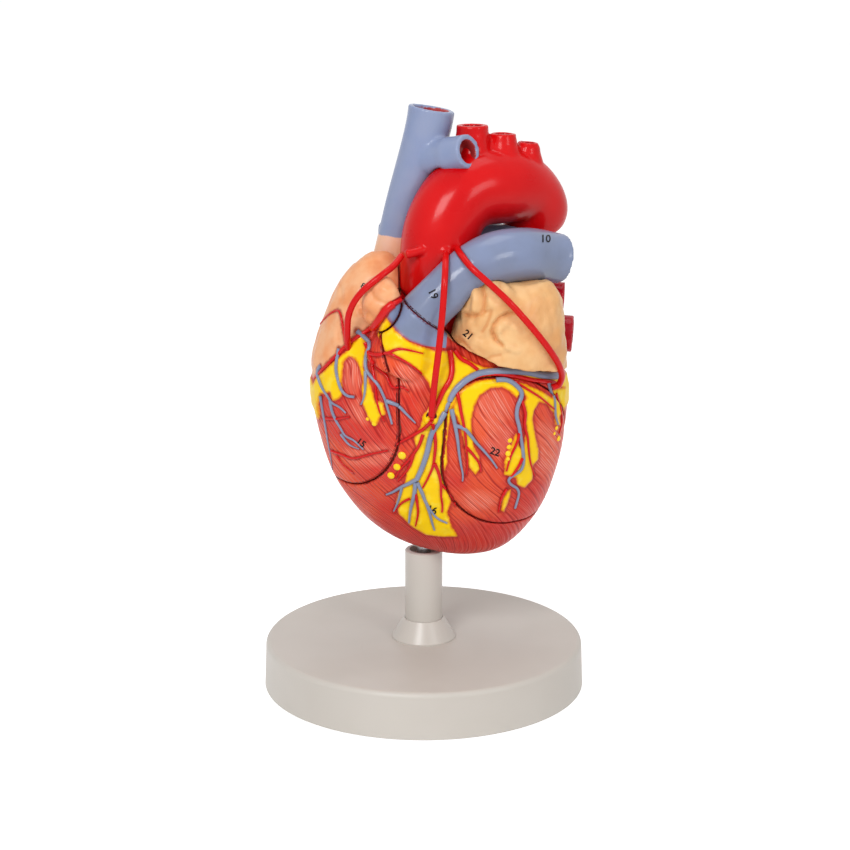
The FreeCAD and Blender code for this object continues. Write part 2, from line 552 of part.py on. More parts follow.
def make_heart():
    seam = "Sizes.seam_gap"
    lower_zone = seat_zone("lower_zone", "0", BELOW_HEART)
    ventricles = ventricle_form()
    root = loft("root_block", level_rings("root_block", [
        ("88", "2", "-22", "30", "25"), ("120", "1", "-24", "26", "24"),
        ("140", "-1", "-26", "21", "21"), ("158", "-2", "-26", "19", "19")]))
    trunk = vessel("trunk_form", TRUNK, "trunk_radius", TRUNK_SHARES)
    aorta = vessel("aorta_form", AORTA, "aorta_radius", AORTA_SHARES)
    cava = vessel("cava_form", CAVA, "cava_radius", CAVA_SHARES)
    base_form = fuse("lower_form", *[common(f"{form.Name}_lower", form, lower_zone)
                                     for form in (ventricles, root, trunk)])

    dome = atrium_form()
    step = box("atrium_step", Vector(-37, -5, 148.5), Vector(20, 60, 200))
    beside_aorta = seat_zone("beside_aorta", "0", ABOVE_HEART, SEAT[1:])
    atrium = cut("atrium_clear", dome, step, beside_aorta)
    whole = fuse("lower_whole", base_form, atrium)
    atrium_back = box("atrium_back", Vector(-90, size("seam_gap") - size("atrium_depth"), 104),
                      Vector(60, 120, 148.5), turn=size("right_turn"))

    rooms = {
        "right_room": (-22, -14, 68), "left_room": (32, -12, 60),
        "right_atrium": (-31, -8, 129),
    }
    tools = []
    for name, (x, y, z) in rooms.items():
        tools.append(ball(f"{name}_space", x, y, z, f"Sizes.{name}_across",
                          f"Sizes.{name}_deep", f"Sizes.{name}_high"))
    bores = [("tricuspid_bore", Vector(-25, -9, 80), Vector(-25, -9, 118), "tricuspid_radius"),
             ("mitral_bore", Vector(34, 2, 78), Vector(34, 2, 130), "mitral_radius"),
             ("aortic_bore", *AORTIC_BORE, "aortic_valve_radius"),
             ("pulmonary_bore", *PULMONARY_BORE, "pulmonary_valve_radius")]
    for name, start, end, radius in bores:
        tools.append(rod_between(name, start, end, f"Sizes.{radius}"))
    spaces = fuse("lower_spaces", *tools)

    right_open = (atrium_window("right_atrium_cutter", seam),
                  window("right_cutter", "right", RIGHT_ROUNDS, seam))
    left_open = window("left_cutter", "left", LEFT_ROUNDS, seam)
    right_close = fuse("right_close", window("right_keeper", "right", RIGHT_ROUNDS, "0"),
                       atrium_window("right_atrium_keeper", "0"))
    left_close = window("left_keeper", "left", LEFT_ROUNDS, "0")

    bush_bore = add("Part::Cylinder", "bush_bore", Radius="Sizes.bush_radius",
                    Height="Sizes.rod_into_heart + Sizes.bush_roof + 10")
    place(bush_bore, z="-10")
    land = add("Part::Cylinder", "rod_land", Radius="Sizes.land_radius",
               Height="10 + Sizes.land_level")
    place(land, z="-10")

    right_pins = [rod_between(f"right_pin_{n}", spot - pull("right") * size("pin_length") / 2,
                              spot + pull("right") * size("pin_length") / 2, "Sizes.pin_radius")
                  for n, spot in enumerate(pin_spots("right", RIGHT_PINS))]
    left_pins = [rod_between(f"left_pin_{n}", spot - pull("left") * size("pin_length") / 2,
                             spot + pull("left") * size("pin_length") / 2, "Sizes.pin_radius")
                 for n, spot in enumerate(pin_spots("left", LEFT_PINS))]
    pegs = []
    for number, (x, y) in enumerate(PEGS):
        peg = add("Part::Cylinder", f"upper_peg_{number}", Radius="Sizes.peg_radius",
                  Height="Sizes.peg_length")
        pegs.append(place(peg, str(x), str(y), f"{seat_height(x)} - Sizes.peg_length / 2"))
    pins = fuse("all_pins", *(right_pins + left_pins + pegs))
    lobe_room = auricle_room()
    middle = fuse("body_middle", cut("body_lower", base_form, *right_open, left_open),
                  common("body_atrium", atrium, atrium_back), bypass_boss())
    body = cut("heart_body", middle, spaces, bush_bore, land, pins, *lobe_room, bypass_socket())
    keep("heart_body", body, COLUMN_TOP)
    keep("right_wall_pins", add("Part::Compound", "right_wall_pins", Links=right_pins),
         COLUMN_TOP)
    keep("left_wall_pins", add("Part::Compound", "left_wall_pins", Links=left_pins), COLUMN_TOP)
    keep("upper_pegs", add("Part::Compound", "upper_pegs", Links=pegs), COLUMN_TOP)

    holes = {}
    for side in ("right", "left"):
        spots = pin_spots(side, RIGHT_PINS if side == "right" else
                          LEFT_PINS)
        holes[side] = fuse(f"{side}_pin_holes", *[
            rod_between(f"{side}_pin_hole_{n}", spot - pull(side),
                        spot + pull(side) * (size("pin_length") / 2 + 1),
                        "Sizes.pin_radius + Sizes.pin_gap") for n, spot in enumerate(spots)])
    lobe = ball("right_auricle", *AURICLE_AT, *AURICLE_HALF, turn=size("right_turn"))
    right_whole = fuse("right_wall_whole", common("right_wall_lower", base_form, right_close),
                       common("right_wall_atrium", atrium, right_close), lobe)
    right_wall = cut("right_wall", right_whole, spaces, holes["right"])
    keep("right_wall", right_wall, COLUMN_TOP)
    keep("left_wall", cut("left_wall", common("left_wall_whole", base_form, left_close), spaces,
                          holes["left"]), COLUMN_TOP)
    make_inside(tools, whole)
    middle_tube = bypass("bypass_middle", MIDDLE_BYPASS)
    left_tube = bypass("bypass_left", LEFT_BYPASS)
    arch = make_upper(aorta, trunk, cava, lobe_room, (middle_tube, left_tube))
    keep("bypass_right", cut("bypass_right", bypass("bypass_right", RIGHT_BYPASS), right_whole),
         COLUMN_TOP)
    keep("bypass_middle", cut("bypass_middle", middle_tube, arch), COLUMN_TOP)
    keep("bypass_left", cut("bypass_left", left_tube, arch), COLUMN_TOP)


AURICLE_AT = (-22.5, -41, 147)
AURICLE_HALF = (11.5, 9, 15)
RIGHT_PINS = [(13.5, 88), (-26, 54)]
LEFT_PINS = [(-8, 64), (44, 80)]
PEGS = [(48, 31), (12, 30)]
RIGHT_ROUNDS = ["1", "Sizes.right_low_round", "Sizes.right_high_round", "1"]
LEFT_ROUNDS = ["Sizes.left_low_round", "Sizes.left_far_round", "Sizes.left_high_round",
               "Sizes.left_near_round"]


def pin_spots(side, places):
    """Where the pins stand on the back plane of a wall, from places across its pull."""
    return [across(side) * u + pull(side) * size(f"{side}_depth") + Vector(0, 0, z)
            for u, z in places]


def auricle_room():
    """The space that the tip of the right auricle needs as it comes away with its wall."""
    grown = [half + size("seam_gap") for half in AURICLE_HALF]
    tip = ball("auricle_tip", *AURICLE_AT, *grown, turn=size("right_turn"))
    lift = Rotation(Vector(0, 0, 1), pull("right").cross(Vector(0, 0, 1)), pull("right"), "ZXY")
    rims = [add("Part::Ellipse", f"auricle_rim_{number}", MajorRadius=grown[2] + 0.05,
                MinorRadius=grown[0] + 0.05,
                Placement=Placement(Vector(*AURICLE_AT) + pull("right") * 40 * number, lift))
            for number in range(2)]
    return tip, loft("auricle_run", rims)


def end_bore(name, start, end, _, radius, depth):
    """The opening in the far end of a vessel stub."""
    along = (end - start).normalize()
    return rod_between(f"{name}_lumen", end - along * depth, end + along, radius)


def seat_height(x):
    for (x0, z0), (x1, z1) in zip(SEAT, SEAT[1:]):
        if x0 <= x <= x1:
            return z0 + (z1 - z0) * (x - x0) / (x1 - x0)
    return SEAT[-1][1]


def make_upper(aorta, trunk, cava, lobe_room, tubes):
    upper_zone = seat_zone("upper_zone", "Sizes.seat_gap", ABOVE_HEART)
    branches = [rod_between(*branch) for branch in BRANCHES]
    knobs = [rod_between(*knob) for knob in BYPASS_KNOBS]
    webs = [ball(*web) for web in ARCH_WEBS]
    arch = fuse("arch_whole", common("aorta_upper", aorta, upper_zone), *branches, *webs, *knobs)
    lumens = [end_bore(*branch, branch[-1] * BRANCH_BORE_SHARE, BRANCH_BORE_DEPTH)
              for branch in BRANCHES]
    arch_spaces = fuse("arch_spaces", rod_between(*ARCH_INLET), *lumens)
    keep("aortic_arch", cut("aortic_arch", arch, *lobe_room, arch_spaces), COLUMN_TOP)

    lobe = ball("left_auricle_lobe", *LEFT_LOBE, turn=LEFT_LOBE_TURN)
    trunk_clear = cut("trunk_clear", common("trunk_upper", trunk, upper_zone), lobe)
    keep("pulmonary_trunk", cut("pulmonary_trunk", trunk_clear, arch, *lobe_room,
                                rod_between(*TRUNK_INLET), rod_between(*TRUNK_MOUTH), *tubes),
         COLUMN_TOP)

    cava_whole = common("cava_upper", fuse("cava_whole", cava, rod_between(*CAVA_BRANCH)),
                        upper_zone)
    mouths = [rod_between(*mouth) for mouth in CAVA_MOUTHS]
    keep("vena_cava", cut("vena_cava", cava_whole, arch, *mouths), COLUMN_TOP)

    atrium = loft("left_atrium_form", level_rings("left_atrium_form", [
        ("100", "27", "14", "44", "33"), ("122", "27", "16", "45", "35"),
        ("142", "25", "18", "43", "33"), ("157", "22", "20", "37", "26"),
        ("169", "22", "20", "26", "16")]))
    auricle = loft("left_auricle_form", level_rings("left_auricle_form", [
        ("100", "45", "-27", "31.5", "21"), ("122", "44.5", "-29", "31.5", "22"),
        ("138", "46", "-29", "28.5", "20.5"), ("149", "48", "-28", "24.5", "17"),
        ("156", "50", "-27", "17", "11")]))
    root_of_cava = box("cava_shelf", Vector(-29.8, 0, 150.3), Vector(0, 30, 160))
    atrium_whole = common("left_atrium_upper", fuse("left_atrium_whole", atrium, auricle,
                                                    root_of_cava, lobe), upper_zone)
    room = ball("left_atrium_space", *LEFT_ATRIUM_AT, "Sizes.left_atrium_across",
                "Sizes.left_atrium_deep", "Sizes.left_atrium_high")
    peg_holes = []
    for number, (x, y) in enumerate(PEGS):
        hole = add("Part::Cylinder", f"peg_hole_{number}",
                   Radius="Sizes.peg_radius + Sizes.pin_gap", Height="Sizes.peg_length + 1")
        peg_holes.append(place(hole, str(x), str(y), f"{seat_height(x)} - Sizes.peg_length / 2"))
    keep("left_atrium", cut("left_atrium", atrium_whole, room, *peg_holes, aorta, trunk_clear,
                            cava, tubes[1]), COLUMN_TOP)
    stubs = cut("vein_stubs", common("veins_upper", fuse("vein_forms", *[
        rod_between(*vein) for vein in VEINS]), upper_zone), atrium, auricle, aorta)
    vein_lumens = fuse("vein_lumens", *[
        end_bore(*vein, vein[-1] - VEIN_WALL, VEIN_BORE_DEPTH) for vein in VEINS])
    keep("pulmonary_veins", cut("pulmonary_veins", stubs, vein_lumens), COLUMN_TOP)

    right_artery = vessel("right_artery_form", RIGHT_PULMONARY, "right_artery_radius",
                          RIGHT_PULMONARY_SHARES)
    keep("right_pulmonary_artery", cut("right_pulmonary_artery", right_artery, trunk, aorta,
                                       atrium, cava), COLUMN_TOP)
    return arch


# ---------------------------------------------------------------- inside the chambers
def leaflet_valve(name, centre, radius, leaves):
    """A ring that fits its bore, with leaves that hang into the ventricle."""
    wall, drop, taper = "Sizes.leaflet_wall", "Sizes.leaflet_drop", "Sizes.leaflet_taper"
    ring = f"Sizes.{radius}"
    valve = turned(name, [
        (ring, "0"), (ring, "4"), (f"{ring} - {wall}", "4"), (f"{ring} - {wall}", "0"),
        (f"{ring} - {taper} - {wall}", f"-{drop}"), (f"{ring} - {taper}", f"-{drop}")])
    slit = sketch_in(valve, f"{name}_slit_outline", "XY_Plane")
    slit.setExpression("AttachmentOffset.Base.z", f"-{drop} - 1")
    half = "Sizes.leaflet_slit / 2"
    outline(slit, [("1", f"-{half}"), (f"{ring} + 2", f"-{half}"), (f"{ring} + 2", half),
                   ("1", half)])
    pocket = valve.newObject("PartDesign::Pocket", f"{name}_slit")
    pocket.Profile = slit
    pocket.Reversed = True
    pocket.setExpression("Length", f"{drop} - 1")
    doc.recompute()
    pattern = spread(valve, f"{name}_slits", pocket, str(leaves))
    pattern.Refine = True
    valve.Placement = Placement(centre, Rotation())
    keep(name, place(valve, centre.x, centre.y, f"{centre.z} + {COLUMN_TOP}"))


def pocket_valve(name, start, end, share, radius):
    """Three closed pockets across a bore, set square to its axis."""
    ring = f"Sizes.{radius}"
    valve = turned(name, [
        ("0", "1.6"), (f"{ring} - 1.5", "0"), (ring, "0"), (ring, "Sizes.cusp_height"),
        (f"{ring} - Sizes.cusp_wall", "Sizes.cusp_height"),
        (f"{ring} - Sizes.cusp_wall - 1", "1.4"), ("0", "1.6 + Sizes.cusp_wall")])
    slit = sketch_in(valve, f"{name}_slit_outline", "XY_Plane")
    outline(slit, [("0.8", "-0.3"), (f"{ring} - 2.4", "-0.3"), (f"{ring} - 2.4", "0.3"),
                   ("0.8", "0.3")])
    pocket = valve.newObject("PartDesign::Pocket", f"{name}_slit")
    pocket.Profile = slit
    pocket.Reversed = True
    pocket.setExpression("Length", "Sizes.cusp_height + 3")
    doc.recompute()
    spread(valve, f"{name}_slits", pocket, "3")
    spot = start + (end - start) * share
    valve.Placement = Placement(spot, facing((end - start).normalize()))
    keep(name, place(valve, spot.x, spot.y, f"{spot.z} + {COLUMN_TOP}"))


def muscles(name, room, feet, tips, edge):
    """Papillary muscles on a chamber's wall, with three cords from each to the leaves."""
    parts = []
    for number, (foot, tip) in enumerate(zip(feet, tips)):
        along = tip - foot
        cone = add("Part::Cone", f"{name}_muscle_{number}", Height=along.Length,
                   Radius1="Sizes.papillary_foot", Radius2="Sizes.papillary_tip",
                   Placement=Placement(foot, facing(along.normalize())))
        parts.append(common(f"{name}_muscle_in_{number}", cone, room))
        centre, reach = edge
        for turn in (-40, 0, 40):
            angle = math.radians(turn) + math.atan2(tip.y - centre.y, tip.x - centre.x)
            end = centre + Vector(math.cos(angle), math.sin(angle), 0) * reach
            start = tip - (tip - foot).normalize() * 1.5
            parts.append(rod_between(f"{name}_cord_{number}_{turn + 40}", start, end,
                                     "Sizes.chord_radius"))
    keep(name, fuse(name, *parts), COLUMN_TOP)


def make_inside(tools, whole):
    right_room, left_room = tools[0], tools[1]
    tricuspid, mitral = Vector(-25, -9, 106), Vector(34, 2, 104)
    leaflet_valve("tricuspid_valve", tricuspid, "tricuspid_radius", 3)
    leaflet_valve("mitral_valve", mitral, "mitral_radius", 2)
    pocket_valve("aortic_valve", *AORTIC_BORE, 0.5, "aortic_valve_radius")
    pocket_valve("pulmonary_valve", *PULMONARY_BORE, 0.5, "pulmonary_valve_radius")
    drop = Vector(0, 0, size("leaflet_drop"))
    muscles("right_papillary_muscles", right_room,
            [Vector(-30, 2, 40), Vector(-14, -6, 40)], [Vector(-28, -8, 66), Vector(-18, -10, 64)],
            (tricuspid - drop, size("tricuspid_radius") - size("leaflet_taper") - 0.6))
    muscles("left_papillary_muscles", left_room,
            [Vector(24, 4, 24), Vector(44, 2, 26)], [Vector(28, 2, 62), Vector(40, 2, 60)],
            (mitral - drop, size("mitral_radius") - size("leaflet_taper") - 0.6))
    lower_cava = rod_between("lower_cava_form", off_middle(-0.2514, 18, 118),
                             off_middle(-0.2802, 36, 92), "Sizes.lower_cava_radius")
    lower_lumen = rod_between("lower_cava_lumen", off_middle(-0.2759, 33.2, 96),
                              off_middle(-0.2874, 40, 87), "Sizes.lower_cava_bore")
    keep("inferior_vena_cava", cut("inferior_vena_cava", lower_cava, whole, lower_lumen),
         COLUMN_TOP)
    bush = turned("rod_bush", [
        ("Sizes.rod_radius + Sizes.rod_clearance", "Sizes.land_level"),
        ("Sizes.bush_radius", "Sizes.land_level"),
        ("Sizes.bush_radius", "Sizes.rod_into_heart + Sizes.bush_roof"),
        ("0", "Sizes.rod_into_heart + Sizes.bush_roof"), ("0", "Sizes.rod_into_heart"),
        ("Sizes.rod_radius + Sizes.rod_clearance", "Sizes.rod_into_heart")])
    keep("rod_bush", bush, COLUMN_TOP)


# ---------------------------------------------------------------- bypass vessels
RIGHT_BYPASS = [Vector(-11.8, -33.6, 170.4), Vector(-15.5, -41, 166.6), Vector(-22.8, -46.8, 162),
                Vector(-31.5, -47.5, 155), Vector(-36.6, -46.5, 148.5), Vector(-39.8, -44, 140.3),
                Vector(-40.4, -40, 128.7), Vector(-40.2, -34, 121)]
MIDDLE_BYPASS = [Vector(11.8, -31.5, 171.5), Vector(11.5, -43, 170.5), Vector(11, -53, 162.5),
                 Vector(10, -56, 147), Vector(8, -57.2, 126), Vector(5.5, -56.8, 106),
                 Vector(4.1, -55.4, 89.2)]
LEFT_BYPASS = [Vector(17.4, -29, 174), Vector(19, -40, 173), Vector(24.2, -49, 167.5),
               Vector(34.5, -52.5, 159), Vector(45, -54.5, 149.5), Vector(56, -54.5, 137),
               off_middle(0.4705, -50.5, 124.5), off_middle(0.5144, -43, 114),
               off_middle(0.5316, -34.5, 105.5), off_middle(0.5216, -29.6, 99.8),
               off_middle(0.495, -30.3, 98.6)]
BYPASS_KNOBS = [("right_knob", Vector(0, -30, 172.8), Vector(-9.6, -32.8, 171.1), 2.5),
                ("middle_knob", Vector(11.8, -26, 172), Vector(11.7, -33.5, 171.4), 3),
                ("left_knob", Vector(17, -22, 174.5), Vector(17.3, -30.5, 174.2), 3)]


def bypass_boss():
    """A small mound of the lower casting that takes the foot of the middle bypass vessel."""
    return rod_between("middle_boss", Vector(4.1, -48, 84.1), Vector(4.1, -55.8, 88.2),
                       "Sizes.bypass_boss")


def bypass_socket():
    foot = MIDDLE_BYPASS[-1]
    return rod_between("middle_socket", foot - Vector(0, 0, 0.6), foot + Vector(0, 0, 12),
                       "Sizes.bypass_radius + Sizes.seam_gap")


def tangent_path(points):
    """Straight runs joined by tangent arcs, each as large as its two runs allow."""
    edges, start = [], points[0]
    for before, corner, after in zip(points, points[1:], points[2:]):
        back, ahead = (before - corner).normalize(), (after - corner).normalize()
        reach = 0.45 * min((before - corner).Length, (after - corner).Length)
        half_turn = (math.pi - back.getAngle(ahead)) / 2
        radius = reach / math.tan(half_turn)
        inwards = (back + ahead).normalize()
        middle = corner + inwards * (radius / math.cos(half_turn) - radius)
        enter, leave = corner + back * reach, corner + ahead * reach
        edges.append(Part.LineSegment(start, enter).toShape())
        edges.append(Part.Arc(enter, middle, leave).toShape())
        start = leave
    edges.append(Part.LineSegment(start, points[-1]).toShape())
    return Part.Wire(edges)


def bypass(name, points):
    path = add("Part::Feature", f"{name}_path", Shape=tangent_path(points))
    ring = add("Part::Circle", f"{name}_ring", Radius="Sizes.bypass_radius",
               Placement=Placement(points[0], facing((points[1] - points[0]).normalize())))
    edges = [f"Edge{number}" for number in range(1, len(path.Shape.Edges) + 1)]
    return add("Part::Sweep", f"{name}_form", Sections=[ring], Spine=(path, edges), Solid=True,
               Frenet=False)


# ---------------------------------------------------------------- build and write
def check_and_write():
    doc.recompute()
    for thing in doc.Objects:
        if "Invalid" in thing.State or "Error" in thing.State:
            raise RuntimeError(f"{thing.Name} failed: {thing.State}")
    for name, thing in NODES.items():
        shape = thing.Shape
        if shape.isNull() or not shape.isValid() or not shape.Solids:
            raise RuntimeError(f"{name} is not a valid solid")
        box_of = shape.BoundBox
        print(f"{name}: {len(shape.Solids)} solid(s), {shape.Volume:.0f} mm3, z "
              f"{box_of.ZMin:.1f} to {box_of.ZMax:.1f}")
    os.makedirs("parts", exist_ok=True)
    for name, thing in NODES.items():
        thing.Shape.exportStep(f"parts/{name}.step")


make_base()
make_column()
make_heart()
check_and_write()
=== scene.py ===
import bmesh
import bpy
import json
import math
import numpy as np
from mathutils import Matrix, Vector
from mathutils.bvhtree import BVHTree
from mathutils.kdtree import KDTree

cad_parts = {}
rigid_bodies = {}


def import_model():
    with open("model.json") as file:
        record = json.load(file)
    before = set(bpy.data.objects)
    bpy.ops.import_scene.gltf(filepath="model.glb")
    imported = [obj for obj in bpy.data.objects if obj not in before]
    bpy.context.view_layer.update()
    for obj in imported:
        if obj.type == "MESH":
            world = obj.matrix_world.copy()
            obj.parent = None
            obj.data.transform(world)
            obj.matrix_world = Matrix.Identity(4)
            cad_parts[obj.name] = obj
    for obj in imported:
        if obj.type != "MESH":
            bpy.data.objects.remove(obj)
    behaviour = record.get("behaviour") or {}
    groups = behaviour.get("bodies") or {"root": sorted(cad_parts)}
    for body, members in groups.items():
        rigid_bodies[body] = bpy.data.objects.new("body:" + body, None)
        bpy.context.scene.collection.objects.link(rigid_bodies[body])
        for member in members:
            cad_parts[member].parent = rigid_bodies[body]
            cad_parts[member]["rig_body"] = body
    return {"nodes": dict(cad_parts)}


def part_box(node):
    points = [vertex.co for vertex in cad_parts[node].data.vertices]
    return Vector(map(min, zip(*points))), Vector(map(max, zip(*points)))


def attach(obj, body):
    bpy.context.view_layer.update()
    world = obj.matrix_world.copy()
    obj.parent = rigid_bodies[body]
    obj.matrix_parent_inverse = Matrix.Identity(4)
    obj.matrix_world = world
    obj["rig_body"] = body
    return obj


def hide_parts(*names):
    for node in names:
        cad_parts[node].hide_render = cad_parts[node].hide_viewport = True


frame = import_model()
nodes = frame["nodes"]
scene = bpy.context.scene
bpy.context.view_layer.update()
mm = 0.001
print("frame loaded:", len(nodes), "nodes")


def addObject(name, data):
    obj = bpy.data.objects.new(name, data)
    scene.collection.objects.link(obj)
    return obj


def takeMesh(obj):
    # the object's final mesh; the object itself goes
    graph = bpy.context.evaluated_depsgraph_get()
    made = bpy.data.meshes.new_from_object(obj.evaluated_get(graph))
    bpy.data.objects.remove(obj)
    return made


def arrayOf(items, key, wide=1, kind=float):
    # one value, or a row of them, for each corner, edge or face of a mesh
    store = np.zeros(len(items) * wide, kind)
    items.foreach_get(key, store)
    return store.reshape(-1, wide) if wide > 1 else store


# ---- camera: in front of the heart and a little above it
camera = {
    "distance": 1200,           # mm
    "near": 0.05,               # m
    "elevation": 14.667,        # degrees above the horizon
    "aim": (0.7, 0, 149.45),    # mm
    "lens": 92.02,              # mm on a 36 mm film
    "film": 36,
    "pictureWide": 850,         # pixels of the picture that the drawings are made in
}


def placeCamera():
    rise = math.radians(camera["elevation"])
    aim = Vector(camera["aim"]) * mm
    eye = aim + camera["distance"] * mm * Vector((0, -math.cos(rise), math.sin(rise)))
    data = bpy.data.cameras.new("viewCamera")
    data.lens = camera["lens"]
    data.sensor_width = camera["film"]
    data.clip_start = camera["near"]
    obj = addObject("viewCamera", data)
    obj.location = eye
    obj.rotation_euler = (aim - eye).to_track_quat("-Z", "Y").to_euler()
    scene.camera = obj
    return eye, (aim - eye).normalized()


eye, lookAlong = placeCamera()
lookRight = Vector((1, 0, 0))
lookUp = lookRight.cross(lookAlong)
pixelFocal = camera["lens"] / camera["film"] * camera["pictureWide"]
pixelSize = camera["distance"] * mm / pixelFocal      # size of a pixel at the heart


def toPicture(spots):
    away = spots - np.array(eye)
    deep = away @ np.array(lookAlong)
    half = camera["pictureWide"] / 2
    return np.c_[half + pixelFocal * (away @ np.array(lookRight)) / deep,
                 half - pixelFocal * (away @ np.array(lookUp)) / deep]


def sightLine(x, y):
    # the direction in which the camera sees a pixel
    half = camera["pictureWide"] / 2
    return (lookAlong + lookRight * ((x - half) / pixelFocal)
            + lookUp * ((half - y) / pixelFocal)).normalized()


# ---- forms: a piece starts as its solid, made into an even skin and rubbed smooth
def turnedOf(mouth, way, profile):
    # a closed turned shape round a mouth: radius and height of each corner, in mm
    axis = Vector(way).normalized()
    side = axis.orthogonal().normalized()
    other = axis.cross(side)
    foot = Vector((0, 0, columnTop))
    count, ring = 48, len(profile)
    spots, faces = [], []
    for number in range(count):
        angle = 2 * math.pi * number / count
        out = side * math.cos(angle) + other * math.sin(angle)
        spots.extend((Vector(mouth) + out * radius + axis * high) * mm + foot
                     for radius, high in profile)
        a, b = number * ring, (number + 1) % count * ring
        for p in range(ring):
            q = (p + 1) % ring
            faces.extend([(a + p, b + p, b + q), (a + p, b + q, a + q)])
    return np.array(spots), np.array(faces)


forms = {           # the weld in mm, then how far a corner moves towards its neighbours
    "weld": 0.002, "rub": (0.6, -0.62), "soften": 0.6, "waves": 9, "waveSpread": (0.7, 1.35),
}


def skinOf(nodeNames, voxel, rounds, extras=()):
    spots, faces = [], []
    for more, corners in extras:
        faces.append(corners + sum(map(len, spots)))
        spots.append(more)
    for name in nodeNames:
        data = nodes[name].data
        faces.append(arrayOf(data.polygons, "vertices", 3, int) + sum(map(len, spots)))
        spots.append(arrayOf(data.vertices, "co", 3))
    spots, faces = np.concatenate(spots), np.concatenate(faces)
    weld = forms["weld"]
    keys, back = np.unique(np.round(spots / (weld * mm)), axis=0, return_inverse=True)
    faces = back.reshape(-1)[faces]
    faces = faces[(faces[:, 0] != faces[:, 1]) & (faces[:, 1] != faces[:, 2])
                  & (faces[:, 0] != faces[:, 2])]
    data = bpy.data.meshes.new("skin")
    data.from_pydata(keys * weld * mm, [], faces.tolist())
    obj = addObject("skin", data)
    remesh = obj.modifiers.new("even", "REMESH")
    remesh.mode = "VOXEL"
    remesh.voxel_size = voxel * mm
    made = takeMesh(obj)
    bpy.data.meshes.remove(data)
    form = Form(made)
    bpy.data.meshes.remove(made)
    form.rub(rounds)
    return form


class Form:
    # the corners and faces of a piece while it is shaped, in metres
    def __init__(self, data):
        self.spots = arrayOf(data.vertices, "co", 3)
        self.faces = [tuple(face.vertices) for face in data.polygons]
        self.edges = arrayOf(data.edges, "vertices", 2, int)
        self.count = np.bincount(self.edges.ravel(), minlength=len(self.spots))[:, None]

    def spread(self, values, rounds=1):
        # each corner takes the mean of its neighbours
        flat = values.ndim == 1
        values = values[:, None] if flat else values
        a, b = self.edges.T
        for _ in range(rounds):
            total = np.zeros_like(values)
            for axis in range(values.shape[1]):
                total[:, axis] = (np.bincount(a, values[b, axis], len(values))
                                  + np.bincount(b, values[a, axis], len(values)))
            values = total / np.maximum(self.count, 1)
        return values[:, 0] if flat else values

    def soften(self, rounds, share=None, strengths=(forms["soften"],)):
        # share says how much each corner takes part
        for strength in strengths * rounds:
            step = (self.spread(self.spots) - self.spots) * strength
            self.spots = self.spots + (step if share is None else step * share[:, None])

    def rub(self, rounds):
        # smooths without shrinking
        self.soften(rounds, None, forms["rub"])

    def normals(self):
        quads = np.array([face if len(face) == 4 else face + face[-1:] for face in self.faces])
        p = self.spots[quads]
        turn = np.cross(p[:, 2] - p[:, 0], p[:, 3] - p[:, 1])
        total = np.zeros_like(self.spots)
        for corner in range(4):
            for axis in range(3):
                total[:, axis] += np.bincount(quads[:, corner], turn[:, axis], len(total))
        return total / np.maximum(np.linalg.norm(total, axis=1), 1e-12)[:, None]

    def push(self, height):
        self.spots = self.spots + self.normals() * (height * mm)[:, None]


def facingOf(form):
    # how squarely each corner faces the camera
    toEye = np.array(eye) - form.spots
    return np.einsum("ij,ij->i", form.normals(), toEye) / np.linalg.norm(toEye, axis=1)


def fromColumn(spots):
    # places in mm from the middle of the column's top
    return (spots - (0, 0, columnTop)) / mm


def smoothStep(low, high, values):
    t = np.clip((values - low) / (high - low), 0, 1)
    return t * t * (3 - 2 * t)


def lumps(spots, size, seed):
    # soft bumps from a sum of waves in mixed directions, from -1 to 1
    rng = np.random.default_rng(seed)
    total = np.zeros(len(spots))
    for _ in range(forms["waves"]):
        way = rng.normal(size=3)
        way *= 2 * math.pi / (size * mm) / np.linalg.norm(way) * rng.uniform(*forms["waveSpread"])
        total += np.sin(spots @ way + rng.uniform(0, 2 * math.pi))
    return total / (forms["waves"] / 2)


def inOutline(flat, outline):
    # signed distance to an outline, positive inside it, in the outline's own units
    corners = np.array(outline, float)
    best = np.full(len(flat), 1e9)
    inside = np.zeros(len(flat), bool)
    for (ax, ay), (bx, by) in zip(corners, np.roll(corners, -1, axis=0)):
        run = np.array([bx - ax, by - ay])
        t = np.clip(((flat - (ax, ay)) @ run) / max(run @ run, 1e-9), 0, 1)
        best = np.minimum(best, np.hypot(flat[:, 0] - ax - t * run[0],
                                         flat[:, 1] - ay - t * run[1]))
        crosses = ((ay > flat[:, 1]) != (by > flat[:, 1]))
        if by != ay:
            inside ^= crosses & (flat[:, 0] < (flat[:, 1] - ay) / (by - ay) * (bx - ax) + ax)
    return np.where(inside, best, -best)


def nearRoute(flat, route):
    # distance to a line of points
    best = np.full(len(flat), 1e9)
    for (ax, ay), (bx, by) in zip(route, route[1:]):
        run = np.array([bx - ax, by - ay], float)
        t = np.clip(((flat - (ax, ay)) @ run) / max(run @ run, 1e-9), 0, 1)
        best = np.minimum(best, np.hypot(flat[:, 0] - ax - t * run[0],
                                         flat[:, 1] - ay - t * run[1]))
    return best


# ---- materials
def hue(name):
    # a paint, listed as 0 to 255 on the screen, as the shader wants it
    return tuple((c / 255 / 12.92) if c <= 10 else ((c / 255 + 0.055) / 1.055) ** 2.4
                 for c in paints[name]) + (1.0,)


